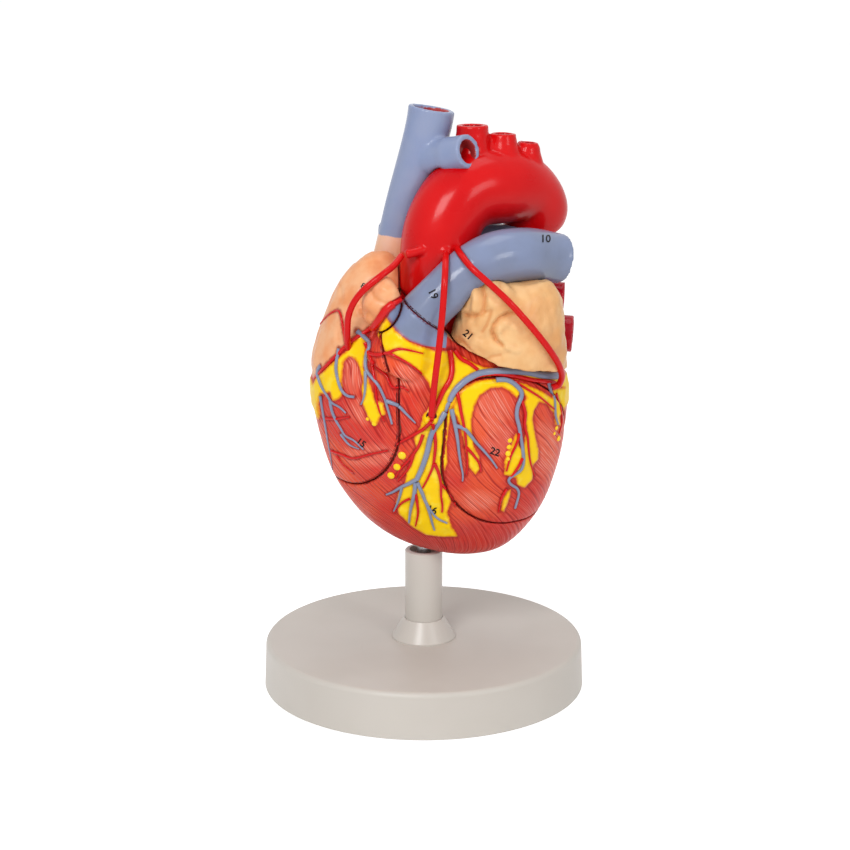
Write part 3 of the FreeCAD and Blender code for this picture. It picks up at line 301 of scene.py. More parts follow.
class Board:
    # a node tree with short ways to add nodes and join them
    def __init__(self, tree):
        self.tree = tree

    def add(self, kind, settings=None, **inputs):
        node = self.tree.nodes.new(kind)
        for name, value in (settings or {}).items():
            setattr(node, name, value)
        for name, value in inputs.items():
            key = int(name[1:]) if name[0] == "i" and name[1:].isdigit() else name
            self.put(node.inputs[key], value)
        return node

    def put(self, socket, value):
        if isinstance(value, bpy.types.NodeSocket):
            self.tree.links.new(value, socket)
        else:
            socket.default_value = value

    def sums(self, kind, a, b=0.0):
        return self.add("ShaderNodeMath", {"operation": kind}, i0=a, i1=b).outputs[0]

    def times(self, a, b):
        return self.sums("MULTIPLY", a, b)

    def plus(self, a, b):
        return self.sums("ADD", a, b)

    def minus(self, a, b):
        return self.sums("SUBTRACT", a, b)

    def step(self, value, low, high):
        node = self.add("ShaderNodeMapRange", {"interpolation_type": "SMOOTHSTEP"}, Value=value)
        node.inputs["From Min"].default_value = low
        node.inputs["From Max"].default_value = high
        return node.outputs[0]

    def mix(self, share, below, above):
        node = self.add("ShaderNodeMix", {"data_type": "RGBA"}, i0=share)
        self.put(node.inputs[6], below)
        self.put(node.inputs[7], above)
        return node.outputs[2]

    def noise(self, spots, size, detail=2.0, rough=0.5):
        node = self.add("ShaderNodeTexNoise", Vector=spots, Detail=detail, Roughness=rough)
        self.put(node.inputs["Scale"], 1 / (size * mm))
        return node.outputs[0]

    def patches(self, spots, look, detail=3.0):
        # soft patches: their size in mm, and where they start and end
        size, low, high = look
        return self.step(self.noise(spots, size, detail), low, high)

    def field(self, name):
        return self.add("ShaderNodeAttribute", {"attribute_name": name}).outputs["Fac"]


def makeGroup(name, inputs, outputs):
    tree = bpy.data.node_groups.new(name, "ShaderNodeTree")
    for label, kind, value in inputs:
        socket = tree.interface.new_socket(label, in_out="INPUT", socket_type=kind)
        if value is not None:
            socket.default_value = value
    for label in outputs:
        tree.interface.new_socket(label, in_out="OUTPUT", socket_type="NodeSocketFloat")
    board = Board(tree)
    return board, tree.nodes.new("NodeGroupInput").outputs, tree.nodes.new("NodeGroupOutput").inputs


def makeMottle():
    # hand-sprayed paint: broad soft clouds and a fine orange peel
    board, given, out = makeGroup("handPaint", [("Vector", "NodeSocketVector", None),
                                                ("Cloud Scale", "NodeSocketFloat", 60.0),
                                                ("Peel Scale", "NodeSocketFloat", 900.0)],
                                  ("Cloud", "Peel"))
    cloud = board.add("ShaderNodeTexNoise", Vector=given["Vector"], Scale=given["Cloud Scale"],
                      Detail=3.0, Roughness=0.55)
    peel = board.add("ShaderNodeTexNoise", Vector=given["Vector"], Scale=given["Peel Scale"],
                     Detail=1.0)
    board.put(out["Cloud"], board.step(cloud.outputs[0], 0.3, 0.7))
    board.put(out["Peel"], peel.outputs[0])
    return board.tree


strokes = {         # of the muscle fibres: bends in mm, the rest as shares of a wave
    "bendScale": 0.022, "bend": 12.0, "runs": ((0.0, 0.45), (37.0, 1.0), (71.0, 0.9)), "break": 9.0,
    "palePart": (0.3, 0.95), "paleWhere": (0.42, 0.6), "darkPart": (-0.35, -0.95),
    "darkWhere": (0.46, 0.62), "leastHeight": 0.25,
}


def makeFibres():
    # muscle fibres: long strokes that follow the unwrapped surface
    board, given, out = makeGroup("muscleFibres", [("Vector", "NodeSocketVector", None),
                                                   ("Spacing", "NodeSocketFloat", 1.5),
                                                   ("Length", "NodeSocketFloat", 22.0)],
                                  ("Dark", "Pale", "Height"))
    split = board.add("ShaderNodeSeparateXYZ", Vector=given["Vector"])
    wander = board.add("ShaderNodeTexNoise", Vector=given["Vector"], Scale=strokes["bendScale"],
                       Detail=1.0)
    bend = board.times(board.minus(wander.outputs[0], 0.5), strokes["bend"])
    turns = board.sums("DIVIDE", board.plus(split.outputs[0], bend), given["Spacing"])
    along = board.sums("DIVIDE", split.outputs[1], given["Length"])
    masks = []
    for shift, width in strokes["runs"]:
        spot = board.add("ShaderNodeCombineXYZ", X=board.times(turns, width), Y=along, Z=shift)
        wave = board.add("ShaderNodeTexNoise", Vector=spot.outputs[0], Scale=1.0, Detail=1.5)
        masks.append(wave.outputs[0])
    phase = board.plus(board.times(turns, 2 * math.pi), board.times(masks[0], strokes["break"]))
    hatch = board.sums("SINE", phase)
    for label, mask, part, where in (("Pale", masks[1], "palePart", "paleWhere"),
                                     ("Dark", masks[2], "darkPart", "darkWhere")):
        board.put(out[label], board.times(board.step(hatch, *strokes[part]),
                                          board.step(mask, *strokes[where])))
    board.put(out["Height"], board.times(hatch, board.plus(strokes["leastHeight"], masks[1])))
    return board.tree


def makeHollowShade():
    # painted shade: a surface gets darker where it turns inwards
    board, given, out = makeGroup("cornerDirt", [("Low", "NodeSocketFloat", 0.4),
                                                 ("High", "NodeSocketFloat", 0.5)], ("Hollow",))
    sharp = board.add("ShaderNodeNewGeometry").outputs["Pointiness"]
    hollow = board.add("ShaderNodeMapRange", Value=sharp)
    board.put(hollow.inputs["From Min"], given["High"])
    board.put(hollow.inputs["From Max"], given["Low"])
    board.put(out["Hollow"], hollow.outputs[0])
    return board.tree


groups = {"paint": makeMottle(), "fibres": makeFibres(), "edge": makeHollowShade()}


def newMaterial(name, **shaderValues):
    material = bpy.data.materials.new(name)
    material.use_nodes = True
    board = Board(material.node_tree)
    shader = material.node_tree.nodes["Principled BSDF"]
    for label, value in shaderValues.items():
        shader.inputs[label.replace("_", " ")].default_value = value
    spots = board.add("ShaderNodeTexCoord").outputs["Object"]
    return material, board, shader, spots


def useGroup(board, name, **inputs):
    node = board.add("ShaderNodeGroup", {"node_tree": groups[name]})
    for label, value in inputs.items():
        board.put(node.inputs[label.replace("_", " ")], value)
    return node.outputs


def finish(board, shader, colour, rough, height, strength, distance):
    board.put(shader.inputs["Base Color"], colour)
    board.put(shader.inputs["Roughness"], rough)
    bump = board.add("ShaderNodeBump", Strength=strength, Distance=distance * mm, Height=height)
    board.put(shader.inputs["Normal"], bump.outputs[0])


paints = {
    "muscle": (214, 52, 38), "muscleBright": (236, 88, 46), "muscleDeep": (172, 24, 26),
    "muscleRose": (205, 62, 58), "muscleStroke": (158, 22, 22), "muscleLight": (238, 124, 100),
    "musclePale": (240, 158, 142),
    "fat": (252, 208, 4), "fatShade": (232, 142, 14), "fatPale": (252, 222, 60),
    "fatShadow": (176, 84, 22), "gap": (70, 12, 16),
    "tan": (236, 158, 106), "tanPale": (242, 182, 136), "tanDeep": (222, 132, 80),
    "beige": (228, 172, 112), "beigePale": (238, 192, 136), "beigeDeep": (214, 144, 86),
    "beigeFold": (206, 136, 78), "holeRed": (138, 22, 26),
    "vein": (124, 134, 160), "veinPale": (152, 160, 186), "veinDeep": (92, 98, 124),
    "veinBright": (134, 148, 184),
    "artery": (205, 6, 12), "arteryDeep": (148, 6, 14), "arteryBright": (217, 20, 20),
    "crimson": (190, 12, 38), "crimsonDeep": (142, 8, 26),
    "flesh": (222, 138, 116), "fleshPale": (238, 188, 164), "fleshDeep": (186, 84, 72),
    "seam": (112, 26, 26), "hole": (112, 12, 16), "holePink": (196, 88, 88),
    "rootPale": (238, 200, 184), "cream": (240, 222, 190), "creamDeep": (220, 190, 150),
    "plastic": (203, 197, 189), "plasticDeep": (190, 183, 174),
    "rubber": (72, 70, 68), "ink": (26, 22, 26), "bush": (168, 160, 150),
}


castingLook = {     # patches: size in mm, start and end; edges: in mm from an outline; else shares
    "coat": {"Specular_IOR_Level": 0.08, "Coat_Weight": 0.16, "Coat_Roughness": 0.18},
    "fibres": {"Spacing": 2.6, "Length": 22.0}, "fineFibres": {"Spacing": 1.05, "Length": 13.0},
    "clouds": {"Cloud_Scale": 48.0, "Peel_Scale": 700.0}, "hollow": {"Low": 0.44, "High": 0.49},
    "broad": (34, 0.4, 0.62), "rose": 0.45, "brush": 0.42, "brushLeast": 0.2, "brushMore": 0.75,
    "strokeLight": 0.6, "strokeDark": 0.8, "fineDark": 0.45, "raggedSize": 2.6, "ragged": 1.6,
    "tanPatches": (12, 0.35, 0.65), "tanStains": (11, 0.52, 0.74), "tanStain": 0.4,
    "valley": (0.1, 1.0), "valleyShare": 0.35, "tanEdge": (-0.4, 0.5),
    "greyRagged": 0.3, "greyEdge": (-0.15, 0.15), "redRagged": 0.4, "redEdge": (-0.2, 0.3),
    "fatPatches": (9, 0.5, 0.72), "fatRim": (1.5, 0.1), "fatEdge": (-0.35, 0.35),
    "fatShadow": (-2.2, -0.3), "fatShadowShare": 0.6,
    "beside": (1.5, -0.2), "besideShare": 0.8, "besideOnFat": 0.45,
    "fleshPatches": (8, 0.38, 0.62), "gapEdge": (1.1, 0.8),
    "peel": 0.18, "roughLeast": 0.3, "roughMore": 0.12, "bump": 0.5, "bumpDeep": 0.4,
}


def musclePaint(board, look, spots, paint):
    # bare muscle: red clouds, pale brushed places and dark and pale strokes along the fibres
    along = board.add("ShaderNodeUVMap", {"uv_map": "fibre"}).outputs[0]
    fibres = useGroup(board, "fibres", Vector=along, **look["fibres"])
    fine = useGroup(board, "fibres", Vector=along, **look["fineFibres"])
    brush = board.field("brush")
    brushed = board.plus(look["brushLeast"], board.times(brush, look["brushMore"]))
    colour = board.mix(board.patches(spots, look["broad"], 2.0), hue("muscle"), hue("muscleBright"))
    apex = board.mix(paint["Cloud"], hue("muscle"), hue("muscleRose"))
    for share, over in ((board.times(paint["Cloud"], look["rose"]), hue("muscleRose")),
                        (board.step(board.field("apex"), 0.0, 1.0), apex),
                        (board.times(brush, look["brush"]), hue("muscleLight")),
                        (board.times(fibres["Pale"], board.times(brushed, look["strokeLight"])),
                         hue("muscleLight")),
                        (board.times(fine["Pale"], brushed), hue("musclePale")),
                        (board.times(fibres["Dark"], look["strokeDark"]), hue("muscleStroke")),
                        (board.times(fine["Dark"], look["fineDark"]), hue("muscleDeep"))):
        colour = board.mix(share, colour, over)
    return colour, fibres["Height"]


def castingPaint():
    # the painted casting: muscle, fat, atrium, vessel stumps and the insides of the chambers
    look = castingLook
    material, board, shader, spots = newMaterial("castingPaint", **look["coat"])
    paint = useGroup(board, "paint", Vector=spots, **look["clouds"])
    edge = useGroup(board, "edge", **look["hollow"])
    colour, fibreHeight = musclePaint(board, look, spots, paint)

    ragged = board.times(board.minus(board.noise(spots, look["raggedSize"], 3.0), 0.5),
                         look["ragged"])
    tanColour = board.mix(board.patches(spots, look["tanPatches"]), hue("tan"), hue("tanPale"))
    tanColour = board.mix(board.times(board.patches(spots, look["tanStains"]), look["tanStain"]),
                          tanColour, hue("tanDeep"))
    # painted shade: the folds of the right atrium take a browner colour
    valley = board.times(board.step(board.field("valley"), *look["valley"]), look["valleyShare"])
    tanColour = board.mix(valley, tanColour, hue("beigeFold"))
    colour = board.mix(board.step(board.plus(board.field("tan"), ragged), *look["tanEdge"]),
                       colour, tanColour)
    greyEdge = board.plus(board.field("grey"), board.times(ragged, look["greyRagged"]))
    colour = board.mix(board.step(greyEdge, *look["greyEdge"]), colour,
                       board.mix(paint["Cloud"], hue("vein"), hue("veinBright")))

    fatEdge = board.plus(board.field("fat"), ragged)
    fatMask = board.step(fatEdge, *look["fatEdge"])
    fatColour = board.mix(board.patches(spots, look["fatPatches"]), hue("fat"), hue("fatPale"))
    fatColour = board.mix(board.step(fatEdge, *look["fatRim"]), fatColour, hue("fatShade"))
    shadow = board.times(board.step(fatEdge, *look["fatShadow"]), look["fatShadowShare"])
    colour = board.mix(shadow, colour, hue("muscleDeep"))
    colour = board.mix(fatMask, colour, fatColour)
    redEdge = board.plus(board.field("red"), board.times(ragged, look["redRagged"]))
    colour = board.mix(board.step(redEdge, *look["redEdge"]), colour,
                       board.mix(paint["Cloud"], hue("artery"), hue("arteryDeep")))
    # a dark painted outline along each vessel, which is also painted shade at its foot
    beside = board.times(board.step(board.plus(board.field("beside"), ragged), *look["beside"]),
                         look["besideShare"])
    weaker = board.minus(1.0, board.times(fatMask, look["besideOnFat"]))
    colour = board.mix(board.times(beside, weaker), colour,
                       board.mix(fatMask, hue("arteryDeep"), hue("fatShadow")))

    fleshColour = board.mix(board.patches(spots, look["fleshPatches"]), hue("flesh"),
                            hue("fleshPale"))
    # painted shade darkens the chamber lining in its hollows
    fleshColour = board.mix(edge["Hollow"], fleshColour, hue("fleshDeep"))
    seamColour = board.mix(paint["Cloud"], hue("seam"), hue("muscleStroke"))
    seamColour = board.mix(board.field("deep"), seamColour, fleshColour)
    holeColour = board.mix(paint["Cloud"], hue("hole"), hue("arteryDeep"))
    for share, over in ((board.field("inside"), fleshColour), (board.field("seam"), seamColour),
                        (board.field("hole"), holeColour),
                        (board.step(board.field("gap"), *look["gapEdge"]), hue("gap"))):
        colour = board.mix(share, colour, over)

    bare = board.minus(1.0, board.sums("MAXIMUM", fatMask, board.field("plain")))
    height = board.plus(board.times(fibreHeight, bare), board.times(paint["Peel"], look["peel"]))
    rough = board.plus(look["roughLeast"], board.times(paint["Cloud"], look["roughMore"]))
    finish(board, shader, colour, rough, height, look["bump"], look["bumpDeep"])
    return material


glossLook = {"coat": {"Specular_IOR_Level": 0.06, "Coat_Roughness": 0.15},
             "clouds": {"Cloud_Scale": 38.0, "Peel_Scale": 520.0},
             "hollow": {"Low": 0.42, "High": 0.49}, "bright": 0.55, "deep": 0.7,
             "raggedSize": 2.4, "ragged": 0.8, "edge": (-0.3, 0.3), "roughLeast": 0.26,
             "roughMore": 0.1, "bumpDeep": 0.25}


def glossPaint(name, main, deep, bright, gloss, peel=0.1, fields=()):
    # one painted colour with clouds, painted shade in its hollows and named patches of other colours
    look = glossLook
    material, board, shader, spots = newMaterial(name, Coat_Weight=gloss, **look["coat"])
    paint = useGroup(board, "paint", Vector=spots, **look["clouds"])
    edge = useGroup(board, "edge", **look["hollow"])
    colour = board.mix(board.times(paint["Cloud"], look["bright"]), hue(main), hue(bright))
    # painted shade: the hollows take the deeper colour
    colour = board.mix(board.times(edge["Hollow"], look["deep"]), colour, hue(deep))
    ragged = board.times(board.minus(board.noise(spots, look["raggedSize"], 3.0), 0.5),
                         look["ragged"])
    for field, other, second in fields:
        patch = board.mix(paint["Cloud"], hue(other), hue(second))
        colour = board.mix(board.step(board.plus(board.field(field), ragged), *look["edge"]),
                           colour, patch)
    rough = board.plus(look["roughLeast"], board.times(paint["Cloud"], look["roughMore"]))
    finish(board, shader, colour, rough, paint["Peel"], peel, look["bumpDeep"])
    return material


atriumLook = {"coat": {"Specular_IOR_Level": 0.2, "Coat_Weight": 0.18, "Coat_Roughness": 0.26},
              "clouds": {"Cloud_Scale": 70.0, "Peel_Scale": 620.0},
              "hollow": {"Low": 0.4, "High": 0.492}, "stains": (26, 0.5, 0.7), "stain": 0.4,
              "valley": (0.05, 1.0), "valleyShare": 0.55, "hollowShare": 0.85,
              "roughLeast": 0.36, "roughMore": 0.14, "grain": (4, 4.0, 0.6), "grainShare": 0.9,
              "bump": 0.4, "bumpDeep": 0.3}


def beigePaint():
    # the folded left atrium: cream, with painted shade in its folds and hollows
    look = atriumLook
    material, board, shader, spots = newMaterial("atriumPaint", **look["coat"])
    paint = useGroup(board, "paint", Vector=spots, **look["clouds"])
    edge = useGroup(board, "edge", **look["hollow"])
    colour = board.mix(paint["Cloud"], hue("beige"), hue("beigePale"))
    flesh = board.mix(paint["Cloud"], hue("flesh"), hue("fleshPale"))
    for share, over in ((board.times(board.patches(spots, look["stains"]), look["stain"]),
                         hue("beigeDeep")),
                        # painted shade in the folds of the left atrium
                        (board.times(board.step(board.field("valley"), *look["valley"]),
                                     look["valleyShare"]), hue("beigeFold")),
                        # painted shade in the hollows
                        (board.times(edge["Hollow"], look["hollowShare"]), hue("beigeDeep")),
                        (board.field("inside"), flesh), (board.field("seam"), hue("seam"))):
        colour = board.mix(share, colour, over)
    rough = board.plus(look["roughLeast"], board.times(paint["Cloud"], look["roughMore"]))
    grain = board.times(board.noise(spots, *look["grain"]), look["grainShare"])
    finish(board, shader, colour, rough, board.plus(paint["Peel"], grain), look["bump"],
           look["bumpDeep"])
    return material


plasticLook = {"clouds": {"Cloud_Scale": 14.0, "Peel_Scale": 1500.0},
               "hollow": {"Low": 0.42, "High": 0.49}, "cloud": 0.35, "hollowShare": 0.3,
               "specks": (0.5, 0.66, 0.75), "speck": 0.12, "roughMore": 0.08, "bumpDeep": 0.12}


def mouldedPlastic(name, main, deep, rough, grain):
    # satin moulded plastic with a fine grain and painted shade in its hollows
    look = plasticLook
    material, board, shader, spots = newMaterial(name)
    paint = useGroup(board, "paint", Vector=spots, **look["clouds"])
    edge = useGroup(board, "edge", **look["hollow"])
    colour = hue(main)
    # the clouds and specks are the plastic's own tone; the hollows are painted shade
    for share, amount in ((paint["Cloud"], "cloud"), (edge["Hollow"], "hollowShare"),
                          (board.patches(spots, look["specks"], 1.0), "speck")):
        colour = board.mix(board.times(share, look[amount]), colour, hue(deep))
    roughness = board.plus(rough, board.times(paint["Cloud"], look["roughMore"]))
    finish(board, shader, colour, roughness, paint["Peel"], grain, look["bumpDeep"])
    return material


steelLook = {"clouds": {"Cloud_Scale": 90.0, "Peel_Scale": 1500.0},
             "marks": {"Scale": 900.0, "Distortion": 1.5, "Detail": 2.0},
             "shade": 0.8, "roughMore": 0.15, "bump": 0.15, "bumpDeep": 0.05}


def turnedSteel(name, colour, rough):
    # steel with fine turning marks round its axis
    look = steelLook
    material, board, shader, spots = newMaterial(name, Metallic=1.0)
    marks = board.add("ShaderNodeTexWave", {"bands_direction": "Z"}, Vector=spots, **look["marks"])
    paint = useGroup(board, "paint", Vector=spots, **look["clouds"])
    shade = board.mix(paint["Cloud"], colour, tuple(c * look["shade"] for c in colour[:3]) + (1,))
    roughness = board.plus(rough, board.times(paint["Cloud"], look["roughMore"]))
    finish(board, shader, shade, roughness, marks.outputs[0], look["bump"], look["bumpDeep"])
    return material


finishes = {
    "casting": castingPaint(),
    # the aorta's root field gives painted shade low on its root
    "aorta": glossPaint("aortaPaint", "artery", "arteryDeep", "arteryBright", 0.26,
                        fields=(("root", "arteryDeep", "artery"), ("hole", "hole", "arteryDeep"))),
    "cava": glossPaint("cavaPaint", "veinBright", "vein", "veinPale", 0.45,
                       fields=(("root", "tanPale", "rootPale"), ("hole", "holeRed", "holePink"))),
    "cavaStub": glossPaint("lowerCavaPaint", "vein", "veinDeep", "veinPale", 0.4,
                           fields=(("hole", "holeRed", "hole"),)),
    "trunk": glossPaint("trunkPaint", "vein", "veinDeep", "veinBright", 0.5,
                        fields=(("line", "gap", "gap"), ("hole", "hole", "arteryDeep"))),
    "atrium": beigePaint(),
    "crimson": glossPaint("pulmonaryVeinPaint", "crimson", "crimsonDeep", "crimson", 0.3,
                          fields=(("hole", "hole", "crimsonDeep"),)),
    "vein": glossPaint("coronaryVeinPaint", "vein", "veinDeep", "veinPale", 0.4),
    "artery": glossPaint("coronaryArteryPaint", "artery", "arteryDeep", "arteryBright", 0.4),
    "bypass": glossPaint("bypassTubePaint", "artery", "arteryDeep", "arteryBright", 0.24, 0.05),
    "fatDrop": glossPaint("fatDropPaint", "fat", "fatShade", "fatPale", 0.3),
    "valve": glossPaint("valvePaint", "cream", "creamDeep", "cream", 0.2),
    "muscle": glossPaint("papillaryPaint", "flesh", "fleshDeep", "fleshPale", 0.3),
    "ink": glossPaint("numberInk", "ink", "ink", "ink", 0.1),
    "stand": mouldedPlastic("standPlastic", "plastic", "plasticDeep", 0.42, 0.12),
    "column": mouldedPlastic("columnPlastic", "plastic", "plasticDeep", 0.3, 0.08),
    "rubber": mouldedPlastic("footRubber", "rubber", "ink", 0.7, 0.3),
    "bush": mouldedPlastic("bushPlastic", "bush", "plasticDeep", 0.4, 0.1),
    "steel": turnedSteel("turnedSteel", (0.62, 0.62, 0.63, 1), 0.22),
    "pin": turnedSteel("pinMetal", (0.7, 0.62, 0.45, 1), 0.28),
}
print("materials made:", len(finishes))


# ---- where the bodies meet: the CAD surfaces of each body, for seams and gaps
bodyOf = {name: obj["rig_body"] for name, obj in nodes.items()}
bushLevel = 0.8 * mm
bodyLabels = {"heart": "heart", "right_wall": "rightWall", "left_wall": "leftWall",
              "upper": "upper"}
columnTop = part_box("rod_bush")[0].z - bushLevel      # where the heart's heights start


joints = {          # in mm, apart from how squarely a face looks at the other casting
    "reach": 4.0, "near": (1.2, 2.2), "square": (0.72, 0.9), "gapAway": 3, "gapSquare": (0.6, 0.85),
    "still": (0.5, 2.4), "cutRounds": 7, "cutFace": (0.86, 0.99), "chamberEdge": (1.03, 1.09),
}


def surfaceOf(wanted):
    spots, faces = [], []
    for name, obj in nodes.items():
        if wanted(name):
            start = len(spots)
            spots.extend(v.co.copy() for v in obj.data.vertices)
            faces.extend(tuple(v + start for v in f.vertices) for f in obj.data.polygons)
    return BVHTree.FromPolygons(spots, faces)


def distanceTo(tree, spots, reach):
    found = np.full(len(spots), reach * mm)
    ways = np.zeros_like(spots)
    for i, spot in enumerate(spots):
        place, _, _, far = tree.find_nearest(Vector(spot), reach * mm)
        if place is not None:
            found[i] = far
            ways[i] = np.array(place) - spot
    return found / mm, ways


smallParts = ("upper_pegs", "right_wall_pins", "left_wall_pins", "right_papillary_muscles",
              "left_papillary_muscles", "tricuspid_valve", "mitral_valve", "aortic_valve",
              "pulmonary_valve", "rod_bush", "inferior_vena_cava", "pulmonary_veins")
others = {body: surfaceOf(lambda name: bodyOf[name] in bodyLabels and bodyOf[name] != body
                          and name not in smallParts)
          for body in bodyLabels}

chambers = {     # middle and half sizes in mm, heights from the top of the column
    "rightVentricle": ((-22, -14, 68), (19, 20, 30)),
    "leftVentricle": ((32, -12, 60), (21, 27, 37)),
    "rightAtrium": ((-31, -8, 129), (14, 19, 15)),
    "leftAtrium": ((41, 9, 124), (24, 19, 18)),
}


def insideMask(spots):
    found = np.zeros(len(spots))
    for middle, half in chambers.values():
        at = np.array(middle) * mm + (0, 0, columnTop)
        share = np.linalg.norm((spots - at) / (np.array(half) * mm), axis=1)
        found = np.maximum(found, 1 - smoothStep(*joints["chamberEdge"], share))
    return found


def seamMasks(form, body):
    # seam: faces that look at another casting; gap: mm to it on the other faces;
    # still: 0 at a seam to 1 away from it
    far, way = distanceTo(others[body], form.spots, joints["reach"])
    length = np.maximum(np.linalg.norm(way, axis=1), 1e-9)
    looks = np.einsum("ij,ij->i", form.normals(), way / length[:, None])
    seam = (1 - smoothStep(*joints["near"], far)) * smoothStep(*joints["square"], looks)
    gap = far + joints["gapAway"] * smoothStep(*joints["gapSquare"], looks)
    return seam, gap, smoothStep(*joints["still"], far)


def makePiece(name, form, fields, material, uvs=None):
    data = bpy.data.meshes.new(name)
    data.from_pydata(form.spots, [], form.faces)
    data.polygons.foreach_set("use_smooth", np.ones(len(data.polygons), bool))
    for label, values in fields.items():
        store = data.attributes.new(label, "FLOAT", "POINT")
        store.data.foreach_set("value", np.ascontiguousarray(values, np.float32))
    if uvs is not None:
        layer = data.uv_layers.new(name="fibre")
        layer.data.foreach_set("uv", uvs(data).ravel())
    data.materials.append(material)
    data.update()
    return addObject(name, data)


pieces = {}


def settle(label, obj, body, slotName, *replaced):
    # a finished piece: the body that it rides and the nodes that it stands for; slotName is not used
    pieces[label] = obj
    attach(obj, body)
    if replaced:
        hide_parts(*replaced)


# ---- the painted picture: outlines in pixels of the front view
drawing = {
    "groove": [(386.5, 317), (396, 331), (408, 341), (422.5, 347), (435.5, 350.5),
        (455, 351.5), (469.5, 361), (483.5, 367.5), (504, 368.5), (526.5, 370.5),
        (555, 372), (567.5, 375), (567.5, 389.5), (553, 383.5), (512, 379), (490, 378),
        (475.5, 381), (463.5, 388.5), (457, 397.5), (452, 410), (448.5, 428),
        (446.5, 444.5), (447.5, 461), (444, 474), (445.5, 485.5), (451.5, 501.5),
        (447.5, 512), (452, 526), (458, 536), (443, 536.5), (426.5, 534.5), (419.5, 531),
        (410, 524.5), (399.5, 514), (396, 502.5), (398.5, 492), (404.5, 485.5),
        (406.5, 473), (411, 463), (416.5, 448.5), (414, 437.5), (420.5, 426), (423, 416),
        (431, 403.5), (433, 393.5), (427, 381), (419.5, 372), (408, 363), (398, 359),
        (388, 355), (382.5, 346.5), (377.5, 334.5), (380.5, 324)],
    "rightWall": [(361, 334.5), (368, 342.5), (367, 354.5), (363.5, 367), (367.5, 377),
        (372, 389.5), (376, 402.5), (380, 400.5), (384, 403.5), (386, 415), (380.5, 416.5),
        (377, 426), (372, 423), (367.5, 416), (363, 404.5), (361.5, 389.5), (362.5, 381),
        (359.5, 367), (355, 358.5), (349, 357), (344, 361), (343, 371), (342, 383.5),
        (343.5, 393.5), (339, 399.5), (332.5, 401), (330.5, 392), (326.5, 393.5),
        (322, 394), (319, 403.5), (321, 416), (317.5, 424.5), (312.5, 404.5),
        (312.5, 387.5), (316.5, 377.5), (324.5, 370.5), (334.5, 361), (347, 350.5),
        (354.5, 341)],
    "leftBand": [(451, 412), (457, 397.5), (463.5, 389), (475.5, 381.5), (494, 377.5),
        (512, 381), (523.5, 389.5), (516.5, 398), (511, 392), (502, 387), (490, 388.5),
        (480, 395.5), (474.5, 405.5), (472, 416), (471, 426), (474, 446.5), (479, 456.5),
        (480, 469), (475.5, 474.5), (469, 467.5), (465.5, 450.5), (463, 438.5),
        (459.5, 424), (456.5, 416)],
    "leftFar": [(512, 381), (524.5, 383.5), (541, 391), (551.5, 398), (553, 389.5),
        (567.5, 386.5), (567.5, 403.5), (563.5, 411), (559.5, 416), (560.5, 426),
        (555, 424.5), (553.5, 414), (547, 404.5), (539, 401.5), (534, 410), (532.5, 418),
        (535, 434.5), (538, 448.5), (538, 459), (532.5, 465.5), (532.5, 479.5),
        (524.5, 488), (517.5, 485.5), (515.5, 477.5), (504, 474.5), (504, 461),
        (508.5, 450.5), (514, 436.5), (516.5, 432.5), (518.5, 444.5), (521.5, 448.5),
        (524.5, 440.5), (526, 428), (524, 416), (523, 403.5), (526, 397.5), (521.5, 389.5)],
    "leftFoot": [(506, 491.5), (511, 489.5), (510, 496), (506.5, 505.5), (504, 512),
        (501, 510), (502, 499.5)],
    "atrium": [(376, 236), (370, 250), (356, 256), (343, 268), (328, 294), (316, 322),
        (308, 345), (304, 376), (309, 381), (314.5, 378), (320.5, 371.5), (328.5, 363.5),
        (339, 353), (349, 343), (361, 334.5), (368.5, 330), (379, 319), (384.5, 310),
        (393, 305), (401, 301), (412, 285), (404, 236)],
    "trunkStump": [(386.5, 318), (395, 332), (410, 341), (425, 346), (446, 348), (447, 334),
        (438, 322), (407, 292), (396, 300)],
    "aortaRoot": [(399, 258), (402, 283), (400, 295), (388, 303), (383, 308), (386, 316),
        (396, 306), (407, 297), (415, 290)],
    "socket": ((431.5, 414.5), 3.6, 1.2, 1.5), "leftFrom": (441, 365), "line": 1.25, "thinLine": 1.0,
    "brushed": {"rightTop": ((352, 372), 16, 26), "rightMid": ((368, 410), 22, 16),
                "rightLow": ((368, 455), 30, 14), "conus": ((412, 375), 20, 18),
                "leftTop": ((492, 410), 22, 26), "leftMid": ((500, 440), 18, 22),
                "leftLow": ((478, 500), 20, 12), "far": ((545, 450), 14, 34)},
}
notThere = -5.0     # mm: an outline's field where its paint isn't
rearPaint = {       # mm, heights from the top of the column
    "grooveBand": 8.0, "grooveHeight": 93, "rearLine": 13, "rearTop": 9.0, "rearLow": 3.5,
    "rearEnd": 22, "rearRise": 75, "atriumFoot": 101, "wave": (3, 25), "fatLumps": (26, 5),
    "fatRagged": 1.8, "atriumLumps": (22, 8), "nothing": -9,
}
painted = {         # facing and mm
    "front": (0.02, 0.3), "far": 6, "brushEdge": (0.5, 1.1), "apex": (14, 34),
    "outlines": ("groove", "rightWall", "leftBand", "leftFar", "leftFoot"),
}


def rearFat(spots):
    # fat along the groove between atria and ventricles, and down the back
    x, y, z = fromColumn(spots).T
    wobble = lumps(spots, *rearPaint["fatLumps"]) * rearPaint["fatRagged"]
    high, long = rearPaint["wave"]
    ring = rearPaint["grooveBand"] - np.abs(z - rearPaint["grooveHeight"] - high * np.sin(x / long))
    share = np.clip((z - rearPaint["rearEnd"]) / rearPaint["rearRise"], 0, 1)
    width = rearPaint["rearLow"] + (rearPaint["rearTop"] - rearPaint["rearLow"]) * share
    band = np.minimum(width - np.abs(x - rearPaint["rearLine"]), z - rearPaint["rearEnd"])
    band = np.minimum(band, rearPaint["atriumFoot"] - z)
    band = np.where(y > 0, band, rearPaint["nothing"])
    return np.maximum(ring, band) + wobble


def blended(drawn, behind, front):
    # an outline drawn in front runs over into the one behind
    far = painted["far"]
    return np.clip(drawn, -far, far) * front + np.clip(behind, -far, far) * (1 - front)


